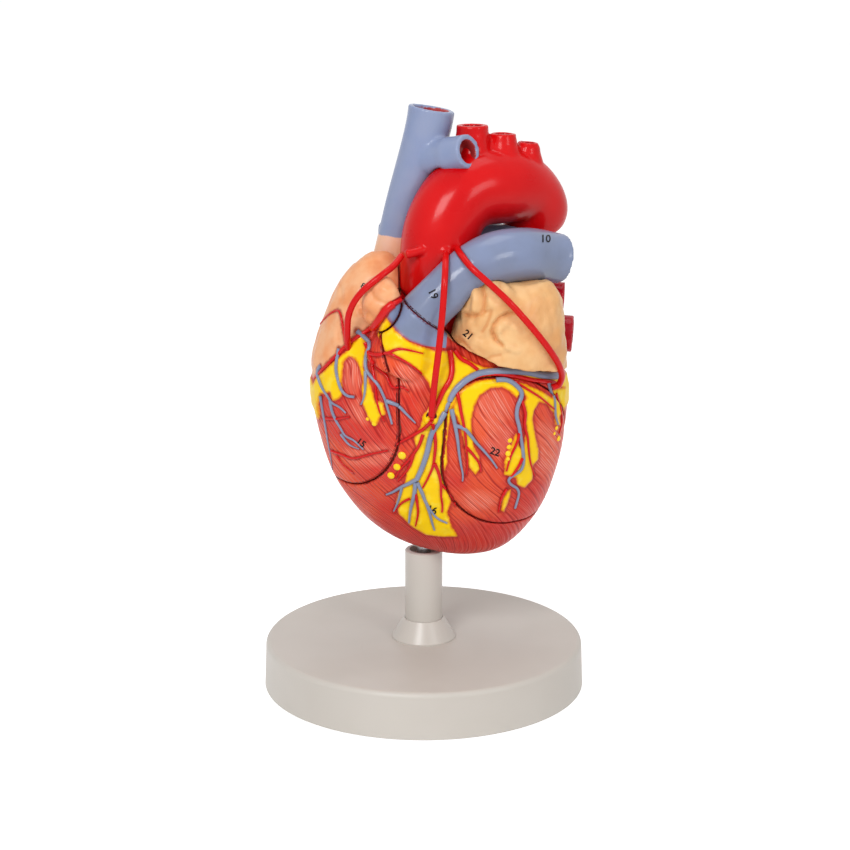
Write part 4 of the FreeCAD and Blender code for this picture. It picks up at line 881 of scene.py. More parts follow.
def paintFields(form, body):
    facing = facingOf(form)
    front = smoothStep(*painted["front"], facing)
    flat = toPicture(form.spots)
    pixel = pixelSize / mm
    drawn = np.max([inOutline(flat, drawing[part]) for part in painted["outlines"]], axis=0) * pixel
    fat = blended(drawn, rearFat(form.spots), front)
    x, y, z = fromColumn(form.spots).T
    tanFront = inOutline(flat, drawing["atrium"]) * pixel
    tanRear = z - rearPaint["atriumFoot"] + lumps(form.spots, *rearPaint["atriumLumps"])
    tan = blended(tanFront, tanRear, front)
    ahead = (facing > 0) & (y < 0)
    grey = np.where(ahead, inOutline(flat, drawing["trunkStump"]) * pixel, notThere)
    red = np.where(ahead, inOutline(flat, drawing["aortaRoot"]) * pixel, notThere)
    if body == "left_wall":
        tan = grey = red = np.full(len(flat), notThere)
    brush = np.zeros(len(flat))
    for (cx, cy), wide, high in drawing["brushed"].values():
        far = np.hypot((flat[:, 0] - cx) / wide, (flat[:, 1] - cy) / high)
        brush = np.maximum(brush, 1 - smoothStep(*painted["brushEdge"], far))
    return {"fat": fat, "tan": tan, "grey": grey, "red": red, "brush": brush * front,
            "apex": 1 - smoothStep(*painted["apex"], z), "facing": facing, "flat": flat}


fibreRun = {        # mm
    "radius": 55, "middle": (6, -2), "lowSlant": 1.4, "slantFall": 0.011, "start": 20,
    "stretch": 0.72, "climb": 8, "apart": 3.4, "wander": (60, 2.6), "uneven": (21, 0.55, 0.45),
}


def unwrapped(spots):
    # the angle round the heart, the height above the fibres' start and how far they have leant
    x, y, z = fromColumn(spots).T
    turn = np.arctan2(x - fibreRun["middle"][0], -(y - fibreRun["middle"][1]))
    rise = z - fibreRun["start"]
    return turn, rise, fibreRun["lowSlant"] * rise - fibreRun["slantFall"] / 2 * rise ** 2


def fibreMap(data):
    # across and along the fibres in mm, unwrapped round the heart and leaning with height
    turn, rise, lean = unwrapped(arrayOf(data.vertices, "co", 3))
    corner = arrayOf(data.loops, "vertex_index", kind=int)
    first = arrayOf(data.polygons, "loop_start", kind=int)
    lead = np.repeat(turn[corner[first]], arrayOf(data.polygons, "loop_total", kind=int))
    around = turn[corner]
    around = around + np.where(around - lead > math.pi, -2 * math.pi, 0)
    around = around + np.where(around - lead < -math.pi, 2 * math.pi, 0)
    return np.c_[(around * fibreRun["radius"] + lean[corner]) * fibreRun["stretch"],
                 rise[corner] + around * fibreRun["climb"]]


def fibreHeight(spots, seed):
    # the coarser fibres as real relief
    turn, _, lean = unwrapped(spots)
    across = (turn * fibreRun["radius"] + lean) * fibreRun["stretch"]
    size, far = fibreRun["wander"]
    phase = (across + lumps(spots, size, seed) * far) * 2 * math.pi / fibreRun["apart"]
    size, least, more = fibreRun["uneven"]
    return np.sin(phase) * (least + more * lumps(spots, size, seed + 1))


def lineWidths(flat):
    # the drawn line round the left wall is thinner than the others, in mm each side
    left = np.all(flat > drawing["leftFrom"], axis=1)
    return np.where(left, drawing["thinLine"], drawing["line"])


def socketMask(flat, facing):
    # the dark end of the middle bypass vessel: dark red paint that also stands in for the shade inside
    # its socket
    (x, y), radius, edge, flatness = drawing["socket"]
    far = np.hypot(flat[:, 0] - x, (flat[:, 1] - y) * flatness)
    return (1 - smoothStep(radius, radius + edge, far)) * (facing > 0)


relief = {          # heights in mm, then the sizes of the lumps in mm and their seeds
    "fatHeight": 0.75, "fatLumps": 0.28, "fibre": 0.13, "swell": 0.3, "trabecula": 0.9,
    "atriumLumps": 0.35, "fatGrain": (7.5, 11), "swellGrain": (30, 17), "atriumGrain": (11, 19),
    "ropes": (8.5, 23), "ropeStretch": (1.0, 1.0, 0.42), "ropeRange": (-0.6, 1.2), "fibreSeed": 3,
    "vesselGrain": (24, 31), "leftGrain": (13, 43), "leftFine": (6, 44), "leftLumps": (0.5, 0.25),
    "leftFolds": 1.5, "leftFront": -8,
}


folds = {           # valleys and ridges of the auricles: pixel route, depth in mm, width in px
    "valleys": [([(482, 286), (484, 296), (483, 306), (480, 314), (472, 317), (462, 316)], 1.6, 3.0),
                ([(516, 313), (508, 315), (500, 319), (494, 326), (492, 333), (495, 340),
                  (502, 345)], 1.9, 3.0),
                ([(484, 312), (491, 311), (489, 318), (486, 326), (482, 332)], 1.0, 2.6),
                ([(470, 290), (467, 298), (464, 306)], 0.7, 2.4),
                ([(452, 340), (461, 342), (467, 349), (470, 354)], 1.2, 2.6),
                ([(500, 283), (504, 292), (512, 300)], 0.6, 3.4),
                ([(484, 364), (490, 357), (500, 355)], 0.8, 2.8),
                ([(528, 290), (532, 300), (530, 312)], 0.4, 4.0)],
    "ridges": [([(475, 290), (476, 300), (474, 310)], 1.5, 3.6),
               ([(499, 330), (500, 339), (507, 348), (517, 351)], 1.1, 3.0),
               ([(506, 323), (514, 328)], 0.9, 4.5),
               ([(463, 325), (472, 330)], 0.9, 5.5),
               ([(488, 300), (494, 306)], 0.7, 4.0),
               ([(476, 342), (486, 348)], 0.8, 5.0)],
}
rightFolds = {
    "valleys": [([(341, 286), (342, 294), (342, 300)], 0.5, 2.2),
                ([(388, 303), (380, 301), (374, 297), (370, 289)], 1.0, 3.0),
                ([(376, 320), (370, 314), (363, 313)], 0.8, 3.0),
                ([(338, 332), (339, 340)], 0.5, 2.2),
                ([(360, 300), (362, 308), (358, 316)], 0.6, 3.0)],
    "ridges": [([(384, 288), (392, 292)], 0.8, 4.5), ([(366, 304), (372, 308)], 0.9, 4.0),
               ([(356, 290), (354, 296)], 0.7, 4.5), ([(358, 314), (364, 321)], 0.8, 4.5),
               ([(337, 334), (334, 342)], 0.6, 4.0)],
}


def foldRelief(flat, marks):
    # the lift in mm that drawn valleys and ridges give, and where the valleys are
    lift, valley = np.zeros(len(flat)), np.zeros(len(flat))
    for kind, sign in (("valleys", -1), ("ridges", 1)):
        for route, depth, width in marks[kind]:
            rise = np.exp(-(nearRoute(flat, route) / width) ** 2)
            lift += sign * depth * rise
            if sign < 0:
                valley = np.maximum(valley, rise ** 2 * min(depth, 1))
    return lift, valley


lowerCava = {"start": (-35, 18, 118), "mouth": (-39, 36, 92), "radius": 9, "bore": 6.4,
             "deep": 6, "lip": 1, "sink": 1.3, "edge": 1.6}     # mm
cavaRun = Vector(lowerCava["mouth"]) - Vector(lowerCava["start"])


def nearCava(spots):
    # 1 within the lower cava stub, 0 away from it
    away = fromColumn(spots) - lowerCava["start"]
    way = np.array(cavaRun.normalized())
    run = np.clip(away @ way, 0, cavaRun.length)
    out = np.linalg.norm(away - run[:, None] * way, axis=1)
    return 1 - smoothStep(0.0, lowerCava["edge"], out - lowerCava["radius"])


auricle = {         # mm and degrees; the crease as a share of its half sizes
    "middle": (-22.5, -41, 147), "half": (11.5, 9, 15), "turn": -37, "front": (-2, 3),
    "crease": 1.05, "creaseEdge": (0.15, 0.55), "rounds": 14,
}


def auricleEdge(spots):
    # how near a corner is to the crease where the right auricle leaves its atrium
    turn = math.radians(auricle["turn"])
    away = fromColumn(spots) - auricle["middle"]
    flat = np.c_[away[:, 0] * math.cos(turn) + away[:, 1] * math.sin(turn),
                 away[:, 1] * math.cos(turn) - away[:, 0] * math.sin(turn), away[:, 2]]
    share = np.linalg.norm(flat / auricle["half"], axis=1)
    behind = smoothStep(*auricle["front"], flat[:, 1])
    return (1 - smoothStep(*auricle["creaseEdge"], np.abs(share - auricle["crease"]))) * behind


def cutFace(form, seam):
    # 1 on the broad cut faces, 0 in the outer rim of a seam
    return smoothStep(*joints["cutFace"], form.spread(seam, joints["cutRounds"]))


casting = {         # rounds of smoothing, the edges of painted areas in mm and of facing
    "rub": 5, "soften": 2, "colourEdge": (-0.5, 0.5), "fatEdge": (-0.5, 0.9), "tanEdge": (0, 3),
    "frontEdge": (0, 0.4), "insideKept": 0.7, "fatFree": 0.3,
}


def castingForm(nodeNames, body, voxel):
    form = skinOf(nodeNames, voxel, casting["rub"])
    form.soften(casting["soften"])
    if body == "right_wall":
        form.soften(auricle["rounds"], auricleEdge(form.spots))
    seam, gap, still = seamMasks(form, body)
    inside = insideMask(form.spots) * (1 - seam)
    paint = paintFields(form, body)
    plain = np.max([smoothStep(*casting["colourEdge"], paint["tan"]),
                    smoothStep(*casting["colourEdge"], paint["grey"]), inside, seam], axis=0)
    atrium = smoothStep(*casting["tanEdge"], paint["tan"])
    outer = (1 - inside) * (1 - seam)
    fatShare = smoothStep(*casting["fatEdge"], paint["fat"]) * outer
    lift = relief["fatHeight"] * fatShare
    lift += relief["fatLumps"] * lumps(form.spots, *relief["fatGrain"]) * fatShare
    lift += relief["fibre"] * fibreHeight(form.spots, relief["fibreSeed"]) * (1 - fatShare) * (1 - plain)
    lift += relief["swell"] * lumps(form.spots, *relief["swellGrain"]) * outer
    lift += relief["atriumLumps"] * lumps(form.spots, *relief["atriumGrain"]) * atrium * outer
    valley = np.zeros(len(lift))
    if body == "right_wall":
        creases, valley = foldRelief(paint["flat"], rightFolds)
        front = smoothStep(*casting["frontEdge"], paint["facing"]) * outer * atrium
        lift += creases * front
        valley *= front
    ropes = lumps(form.spots * relief["ropeStretch"], *relief["ropes"])
    lift += relief["trabecula"] * np.clip(ropes, *relief["ropeRange"]) * inside
    lift -= lowerCava["sink"] * nearCava(form.spots) * outer
    form.push(lift * still)
    form.soften(1, 1 - casting["insideKept"] * inside)
    fields = {name: paint[name] for name in ("tan", "grey", "red", "brush", "apex")}
    fields.update(fat=np.where(inside + seam > casting["fatFree"], notThere, paint["fat"]),
                  valley=valley, inside=inside, seam=seam, deep=cutFace(form, seam), plain=plain,
                  gap=gap / lineWidths(paint["flat"]),
                  hole=socketMask(paint["flat"], paint["facing"]))
    return form, fields


sizes = {"quickVoxel": 1.5, "bodyVoxel": 1.08, "wallVoxel": 0.85, "vesselVoxel": 0.85}

for name, label, body, voxel in (("heart_body", "heartBody", "heart", sizes["bodyVoxel"]),
                                 ("right_wall", "rightWall", "right_wall", sizes["wallVoxel"]),
                                 ("left_wall", "leftWall", "left_wall", sizes["wallVoxel"])):
    form, fields = castingForm([name], body, voxel)
    settle(label, makePiece(label, form, fields, finishes["casting"], fibreMap), body, "muscle",
           name)
    print("casting made:", label, len(form.spots), "corners")


# ---- the great vessels and the left atrium
openings = {        # mouth and axis in mm from the top of the column, and the radius of its hole
    "vena_cava": [((4.2, 6, 243.5), (0.14, 0, 1), 9.6),
                  ((23.6, -16.2, 223.2), (0.75, -0.63, 0.24), 6.4)],
    "aortic_arch": [((26, 1, 235), (0, 0, 1), 5.3), ((42.6, 5.5, 230), (0.03, 0.02, 1), 4.3),
                    ((56.5, 12.5, 224.5), (0.08, 0.02, 1), 3.5)],
    "pulmonary_trunk": [((73.5, -6, 164), (7, 4, -2), 9.6)],
    "pulmonary_veins": [((77, 8, 140), (21, -2, -1), 5.8), ((82, 9, 119.5), (26, -3, -1.5), 7.4),
                        ((-22, 46, 148), (-24, 16, 2), 5.4)],
    "inferior_vena_cava": [(lowerCava["mouth"], tuple(cavaRun), lowerCava["bore"])],
}


boring = {"edge": (-0.2, 0.5), "out": 3, "deep": 14, "end": 12}     # mm from the rim of a mouth


def holeMask(form, spots):
    found = np.zeros(len(form.spots))
    for mouth, way, radius in spots:
        at = np.array(mouth) * mm + (0, 0, columnTop)
        axis = np.array(way) / np.linalg.norm(way)
        away = form.spots - at
        deep = away @ axis
        out = np.linalg.norm(away - deep[:, None] * axis, axis=1)
        low, high = boring["edge"]
        inner = (1 - smoothStep(radius + low, radius + high, out / mm)) * (deep / mm < boring["out"])
        found = np.maximum(found, inner * (np.abs(deep / mm) < boring["deep"])
                           * (deep / mm > -boring["end"]))
    return found


def vesselPiece(label, nodeNames, material, slotName, rounds, extra=None, rings=(), body="upper"):
    form = skinOf([] if body == "heart" else nodeNames, sizes["vesselVoxel"], rounds,
                  [turnedOf(*ring) for ring in rings])
    seam, gap, still = seamMasks(form, body)
    form.push(relief["swell"] * 0.5 * lumps(form.spots, *relief["vesselGrain"]) * still)
    fields = {"seam": seam, "line": drawing["line"] - gap,
              "hole": holeMask(form, openings.get(nodeNames[0], [])) * 2 - 1,
              "root": np.full(len(form.spots), notThere),
              "inside": insideMask(form.spots) * (1 - seam)}
    if extra:
        extra(form, fields, still)
    settle(label, makePiece(label, form, fields, material), body, slotName, *nodeNames)
    print("vessel made:", label, len(form.spots), "corners")


branchJoint = {     # mm
    "middle": (13.5, -7.5, 219.8), "near": 8, "far": 15, "mouth": (23.3, -15.9, 223.1),
    "way": (0.75, -0.63, 0.24), "mouthKept": (6, 10), "rounds": 30,
    "ring": ((9.1, 0), (6.2, 0), (6.4, -14), (10.2, -14), (9.5, -7)),
}
roots = {"cava": 175, "cavaLumps": (12, 41), "cavaRagged": 0.8, "aorta": 150, "aortaSoft": 0.5}


def cavaRoot(form, fields, still):
    # the branch runs smoothly into the vessel, and its root is tan
    away = fromColumn(form.spots)
    joint = 1 - smoothStep(branchJoint["near"], branchJoint["far"],
                           np.linalg.norm(away - branchJoint["middle"], axis=1))
    joint *= smoothStep(*branchJoint["mouthKept"],
                        np.linalg.norm(away - branchJoint["mouth"], axis=1))
    form.soften(branchJoint["rounds"], joint)
    fields["root"] = (roots["cava"] - fromColumn(form.spots)[:, 2]
                      + lumps(form.spots, *roots["cavaLumps"]) * roots["cavaRagged"])


def aortaRoot(form, fields, still):
    # the aorta is painted a deeper red below its root height: painted shade on the low root
    fields["root"] = (roots["aorta"] - fromColumn(form.spots)[:, 2]) * roots["aortaSoft"]


def stubProfile(radius, bore, long, deep, lip):
    # a tube closed at its far end, with a rounded lip and a short bore, for turnedOf
    return ((radius, -long), (radius, -lip), (radius - 0.8, 0), (bore + 0.8, 0), (bore, -lip),
            (bore, -deep), (0.1, -deep - 0.5), (0.1, -long))


shelf = {"middle": (-27, 20, 155), "half": (11, 16, 9), "rounds": 30, "edge": (0.8, 1.3)}   # mm


def foldAtrium(form, fields, still):
    facing = facingOf(form)
    flat = toPicture(form.spots)
    near = smoothStep(*casting["frontEdge"], facing) * (form.spots[:, 1] < relief["leftFront"] * mm)
    lift, valley = foldRelief(flat, folds)
    lift *= relief["leftFolds"] * near
    fields["valley"] = valley * near
    for height, grain in zip(relief["leftLumps"], ("leftGrain", "leftFine")):
        lift += height * lumps(form.spots, *relief[grain])
    form.push(lift * still * (1 - fields["inside"]))
    form.soften(1)
    share = np.linalg.norm((fromColumn(form.spots) - shelf["middle"]) / shelf["half"], axis=1)
    form.soften(shelf["rounds"], 1 - smoothStep(*shelf["edge"], share))


vesselPiece("leftAtrium", ["left_atrium"], finishes["atrium"], "atrium_tan", 5, foldAtrium)
vesselPiece("aorticArch", ["aortic_arch"], finishes["aorta"], "artery_red", 10, aortaRoot,
            [(mouth, way, ((radius + 3, -2), (radius + 0.6, -2), (radius + 0.6, -19),
                           (radius + wide * 1.6, -19), (radius + wide, -11),
                           (radius + 3.6, -5)))
             for (mouth, way, radius), wide in zip(openings["aortic_arch"], (4.2, 6.2, 6.0))])
vesselPiece("venaCava", ["vena_cava"], finishes["cava"], "vein_blue", 6, cavaRoot,
            [[branchJoint[key] for key in ("mouth", "way", "ring")]])
vesselPiece("pulmonaryTrunk", ["pulmonary_trunk"], finishes["trunk"], "vein_blue", 3)
vesselPiece("rightPulmonaryArtery", ["right_pulmonary_artery"], finishes["trunk"], "vein_blue", 4)
vesselPiece("pulmonaryVeins", ["pulmonary_veins"], finishes["crimson"], "crimson", 3, None,
            [(*openings["pulmonary_veins"][2][:2], stubProfile(8, 5.4, 20, 6, 0.8))])
vesselPiece("lowerCavaStub", ["inferior_vena_cava"], finishes["cavaStub"], "vein_blue", 3, None,
            [(*openings["inferior_vena_cava"][0][:2],
              stubProfile(lowerCava["radius"], lowerCava["bore"], cavaRun.length,
                          lowerCava["deep"], lowerCava["lip"]))], "heart")


pegs = {"inward": 3.2, "thinner": 0.7}      # mm


def makePegs():
    # the pegs stand a little further in than their holes, clear of the skin's rear edge
    form = skinOf(["upper_pegs"], 0.5, 1)
    form.spots[:, 1] -= pegs["inward"] * mm
    form.push(np.full(len(form.spots), -pegs["thinner"]))
    settle("upperPegs", makePiece("upperPegs", form, {}, finishes["pin"]), "heart", "pin_metal",
           "upper_pegs")


makePegs()


# ---- coronary vessels: routes in pixels of the front view, laid on what the camera sees there
coronary = {        # radius in mm at the start and at the end, then the route
    "veins": {
        "greatVein": (1.38, 0.94, [(556, 376), (541, 375), (524.5, 372), (506, 371), (490, 372),
            (477.5, 374), (465.5, 380.5), (455.5, 389.5), (450, 398.5), (446, 409), (441, 419),
            (434.5, 428), (430.5, 437.5), (428.5, 446.5), (425.5, 458), (421.5, 469), (417, 479)]),
        "greatVeinLeftFork": (0.83, 0.39, [(417, 479), (409, 483.5), (400, 487.5), (393, 492),
            (386.5, 494.5)]),
        "greatVeinLeftTwig": (0.61, 0.33, [(402, 487), (400, 495.5), (397, 504.5), (394, 511)]),
        "greatVeinMidFork": (0.88, 0.39, [(415.5, 482), (414.5, 493.5), (411.5, 505.5),
            (410, 514), (409, 522.5)]),
        "greatVeinRightFork": (0.77, 0.33, [(417, 482), (422.5, 493.5), (425.5, 501.5),
            (430.5, 510), (437, 518), (447, 523)]),
        "greatVeinRightTwig": (0.61, 0.33, [(427, 504.5), (430.5, 516), (432.5, 524),
            (434.5, 530)]),
        "leftWallVein": (0.88, 0.28, [(451.5, 409), (454, 420), (456, 430), (458, 442.5),
            (459, 452.5), (461, 465), (463, 475), (462.5, 481)]),
        "leftWallVeinBranch": (0.77, 0.33, [(455.5, 425.5), (463.5, 428), (469.5, 434),
            (476, 442.5), (483.5, 450.5), (492, 460.5), (497, 468)]),
        "farVein": (0.94, 0.44, [(496, 380), (506, 380), (514.5, 384), (521.5, 392), (521, 398),
            (517.5, 406), (516.5, 416), (519, 426), (520.5, 436.5), (522.5, 448.5),
            (523.5, 461), (521, 470), (513.5, 475), (508, 479.5), (510.5, 484.5),
            (516.5, 487.5), (519, 492.5), (517.5, 499.5), (515, 508)]),
        "edgeVein": (0.66, 0.39, [(548, 381), (550, 389.5), (554, 397.5), (555, 406.5),
            (555.5, 416), (558, 424)]),
        "smallVein": (0.88, 0.39, [(357, 331), (363.5, 336.5), (369, 342), (370, 347),
            (366.5, 354.5), (365.5, 363), (366.5, 370.5), (372, 377.5), (378.5, 385.5),
            (382.5, 393.5), (385.5, 400.5), (387.5, 408), (390, 416), (392, 424)]),
        "smallVeinCross": (0.83, 0.28, [(386.5, 401), (398, 405.5), (406, 413.5), (415.5, 423)]),
        "smallVeinTwig": (0.66, 0.28, [(365.5, 371.5), (365.5, 381), (365, 391.5),
            (363.5, 399.5), (361, 404.5)]),
        "upperVein": (0.66, 0.5, [(339, 348.5), (337.5, 356.5), (336, 367), (337, 375),
            (339, 383.5), (342, 391), (347.5, 396), (354.5, 397)]),
        "sideVein": (0.77, 0.33, [(320.5, 366), (317.5, 371.5), (319, 379), (322.5, 388),
            (328, 396.5), (332.5, 403.5), (339, 406.5), (346, 413)]),
        "sideVeinLong": (0.72, 0.28, [(330.5, 400.5), (332, 410), (336, 420), (341, 428.5),
            (345.5, 436), (353.5, 440), (363.5, 449.5)]),
        "sideVeinTwig": (0.55, 0.22, [(341, 434), (349, 444.5), (359, 449)]),
        "sideVeinDown": (0.61, 0.22, [(320.5, 396), (322.5, 408), (324.5, 420), (326.5, 432),
            (328.5, 444.5), (330.5, 454.5), (332.5, 469.5)]),
    },
    "arteries": {
        "grooveStump": (1.5, 1.3, [(393, 304), (386.5, 309), (381.5, 316), (376, 324),
            (372, 329)]),
        "grooveArtery": (0.88, 0.55, [(400, 300), (392, 304.5), (384.5, 310), (379, 319),
            (368.5, 330), (361, 334.5), (349, 343), (339, 353), (328.5, 363.5), (320.5, 371.5),
            (314.5, 378)]),
        "conusArtery": (0.72, 0.28, [(368.5, 353.5), (377.5, 355), (388, 353), (396, 356.5),
            (404.5, 361), (414.5, 367.5), (422, 373.5)]),
        "conusTwig": (0.61, 0.22, [(388, 353), (398, 349), (408, 350), (423, 353.5)]),
        "wallArtery": (0.72, 0.28, [(365, 342.5), (368.5, 351.5), (371.5, 361), (373, 370),
            (375.5, 383.5), (376.5, 397.5), (379, 410), (384, 421)]),
        "wallArteryCross": (0.66, 0.28, [(371.5, 361), (379.5, 370), (386, 375), (390, 383.5),
            (393, 388), (402, 387), (408.5, 391)]),
        "marginArtery": (0.61, 0.28, [(326.5, 418.5), (336.5, 419), (349.5, 417)]),
        "lowArtery": (0.55, 0.28, [(331.5, 451), (343, 455), (353.5, 458.5), (369.5, 454.5),
            (388, 450.5)]),
        "lowArteryTwig": (0.5, 0.22, [(336.5, 455.5), (343.5, 465), (353.5, 473)]),
        "descendArtery": (1.1, 0.77, [(449.5, 350.5), (451, 359), (452, 367.5), (451, 377),
            (448, 383.5), (443.5, 390.5), (440, 398), (435.5, 408), (432.5, 416.5), (431.5, 421)]),
        "descendLeft": (0.77, 0.33, [(431.5, 421), (425, 428), (414.5, 434.5), (402.5, 441),
            (396.5, 444.5)]),
        "roundArtery": (0.88, 0.66, [(454.5, 350.5), (461, 359), (469.5, 363.5), (478, 370)]),
        "roundArteryFar": (0.94, 0.72, [(455, 393.5), (463.5, 383.5), (473.5, 377),
            (490, 373.5), (514.5, 376), (534.5, 380), (553, 382), (557.5, 384.5)]),
        "septalArtery": (0.72, 0.33, [(432.5, 424), (435, 436.5), (435.5, 446.5),
            (434.5, 456.5), (433, 466), (428.5, 477), (422.5, 488)]),
        "septalBranch": (0.66, 0.33, [(434.5, 463), (439, 474), (441, 485.5), (441, 495.5),
            (442.5, 505.5), (442, 512)]),
        "septalTwig": (0.55, 0.28, [(441, 483.5), (447.5, 491.5), (453, 499), (455.5, 506)]),
        "leftOfVein": (0.66, 0.33, [(423, 434.5), (419, 445.5), (414, 453.5), (408, 461),
            (400.5, 469), (395.5, 477.5)]),
        "leftOfVeinTwig": (0.55, 0.28, [(413.5, 454.5), (410.5, 465), (405, 473), (398, 481)]),
        "lowLeftTwig": (0.66, 0.28, [(415.5, 493.5), (417.5, 504.5), (418, 514), (415.5, 526)]),
        "lowFarTwig": (0.55, 0.28, [(410, 498.5), (402, 502.5), (396.5, 509), (394, 513)]),
        "leftWallArtery": (0.72, 0.28, [(457, 392), (459, 400), (461, 412), (463.5, 424),
            (465.5, 436.5), (466.5, 448.5), (467.5, 461), (466.5, 475)]),
        "leftWallBranch": (0.66, 0.33, [(465.5, 446.5), (473.5, 455), (479, 463), (481, 471.5)]),
        "farArtery": (0.66, 0.28, [(521.5, 400.5), (525.5, 413), (524.5, 426), (527.5, 436.5),
            (528.5, 448.5), (530.5, 463), (534.5, 475.5)]),
        "farArteryLeft": (0.66, 0.33, [(520.5, 430), (516, 444.5), (510.5, 456.5), (506.5, 471)]),
        "farArteryMid": (0.66, 0.44, [(522.5, 458), (516.5, 469.5), (508.5, 479.5)]),
        "farArteryLow": (0.61, 0.28, [(506.5, 489), (501, 499.5), (498.5, 512)]),
        "diagonalArtery": (0.5, 0.33, [(514.5, 381.5), (528.5, 390), (541, 398), (554, 409)]),
        "edgeArtery": (0.55, 0.28, [(556, 393.5), (560.5, 408), (562, 421), (559, 433.5)]),
        "auricleArtery": (0.55, 0.28, [(346, 344.5), (343.5, 330), (339, 311), (328.5, 315),
            (320.5, 324), (316.5, 334.5)]),
    },
}
rearVessels = {     # the same behind, in mm across and up from the top of the column
    "veins": {
        "middleVein": (1.4, 0.7, [(10, 92), (12, 80), (15, 66), (14, 52), (17, 38), (16, 28)]),
        "middleVeinTwig": (0.8, 0.3, [(15, 66), (24, 58), (30, 46), (33, 34)]),
        "middleVeinSide": (0.8, 0.3, [(14, 52), (4, 44), (-2, 34), (-4, 27)]),
        "coronarySinus": (2.6, 1.6, [(-14, 94), (2, 95), (20, 96), (38, 96), (52, 95)]),
        "rearWallVein": (1.0, 0.4, [(40, 95), (44, 80), (42, 64), (46, 50), (44, 38)]),
        "rightRearVein": (0.9, 0.3, [(-20, 92), (-28, 78), (-26, 64), (-32, 52), (-30, 42)]),
    },
    "arteries": {
        "rearDescending": (1.2, 0.5, [(4, 93), (7, 80), (9, 66), (8, 50), (11, 36), (10, 26)]),
        "rearDescendingTwig": (0.7, 0.3, [(9, 66), (-2, 58), (-8, 48), (-12, 38)]),
        "rearDescendingFar": (0.7, 0.3, [(8, 50), (22, 44), (28, 34), (27, 27)]),
        "rightRearArtery": (1.3, 1.1, [(-56, 91), (-46, 90), (-34, 89), (-20, 89), (-6, 90),
            (4, 93)]),
        "roundRearArtery": (1.1, 0.5, [(64, 91), (56, 89), (46, 88), (38, 86), (34, 74), (36, 62),
            (32, 50)]),
        "marginRearTwig": (0.8, 0.3, [(56, 89), (60, 76), (56, 62), (58, 50)]),
        "atriumTwig": (0.8, 0.3, [(-30, 90), (-34, 104), (-30, 118), (-36, 130)]),
    },
}
fatDrops = [        # pixel place and radius in pixels
    (402, 455.5, 4.1), (397, 467, 3.7), (391, 475.5, 3.7), (510, 440.5, 2.4), (509, 447, 2.4),
    (508, 453.5, 2.7), (508, 459, 2), (556.5, 428, 2.4), (558.5, 438.5, 2.9), (554.5, 433.5, 1.8),
    (374, 424, 2.4), (367.5, 419, 1.8),
]


def heartSkins():
    spots, faces, owner = [], [], []
    for label, body in (("heartBody", "heart"), ("rightWall", "right_wall"),
                        ("leftWall", "left_wall"), ("leftAtrium", "upper"),
                        ("pulmonaryTrunk", "upper"), ("aorticArch", "upper")):
        data = pieces[label].data
        start = len(spots)
        spots.extend(v.co.copy() for v in data.vertices)
        faces.extend(tuple(v + start for v in f.vertices) for f in data.polygons)
        owner.extend([body] * len(data.polygons))
    return BVHTree.FromPolygons(spots, faces), owner


skins, skinOwner = heartSkins()


def smoothRoute(route, gap):
    # a Catmull-Rom curve through the points, with a point about every gap
    p = np.array(route, float)
    p = np.vstack([2 * p[0] - p[1], p, 2 * p[-1] - p[-2]])
    made = []
    for a, b, c, d in zip(p, p[1:], p[2:], p[3:]):
        steps = max(2, int(np.linalg.norm(c - b) / gap))
        for t in np.arange(steps) / steps:
            made.append(0.5 * (2 * b + (c - a) * t + (2 * a - 5 * b + 4 * c - d) * t ** 2
                               + (3 * b - a - 3 * c + d) * t ** 3))
    made.append(p[-2])
    return made


def fromFront(spot):
    return Vector(eye), sightLine(*spot)


behind = {"middle": 6, "far": 250, "spread": 0.55}     # mm; where lines from behind aim


def fromBehind(spot):
    x, z = spot
    middle = behind["middle"]
    out = Vector((x * mm, behind["far"] * mm, columnTop + z * mm))
    aim = Vector(((middle + (x - middle) * behind["spread"]) * mm, 0, columnTop + z * mm))
    return out, (aim - out).normalized()


laying = {          # vessels wider than drawn, how far they stand out, where a run breaks, in mm
    "scale": 1.5, "raised": 0.12, "jump": 6, "step": 1.1, "sides": 9, "frontGap": 1.6,
    "rearGap": 1.0,
}
vesselPoints = []       # every place and radius that a coronary vessel was laid at


def onSkin(start, way):
    # where a line meets the heart: the place, the normal towards the viewer and the body
    place, normal, face, _ = skins.ray_cast(start, way)
    if place is None:
        return None, None, None
    return place, normal if normal.dot(way) < 0 else -normal, skinOwner[face]


def layRoute(route, radii, cast, gap):
    # runs of points on one body: (body, [(place, radius)]), sunk a little into the surface
    runs = []
    fine = smoothRoute(route, gap)
    for number, spot in enumerate(fine):
        place, normal, body = onSkin(*cast(spot))
        if place is None:
            continue
        share = number / (len(fine) - 1)
        radius = (radii[0] * (1 - share) + radii[1] * share) * laying["scale"] * mm
        place = place + normal * radius * laying["raised"]
        jump = runs and (place - runs[-1][1][-1][0]).length > laying["jump"] * mm
        if not runs or runs[-1][0] != body or jump:
            runs.append((body, []))
        runs[-1][1].append((place, radius))
    runs = [run for run in runs if len(run[1]) > 2]
    for _, points in runs:
        vesselPoints.extend(points)
    return runs


def evenOut(points, rounds=3):
    places = np.array([tuple(place) for place, _ in points])
    for _ in range(rounds):
        places[1:-1] = places[1:-1] * 0.5 + (places[:-2] + places[2:]) * 0.25
    return [(Vector(p), radius) for p, (_, radius) in zip(places, points)]


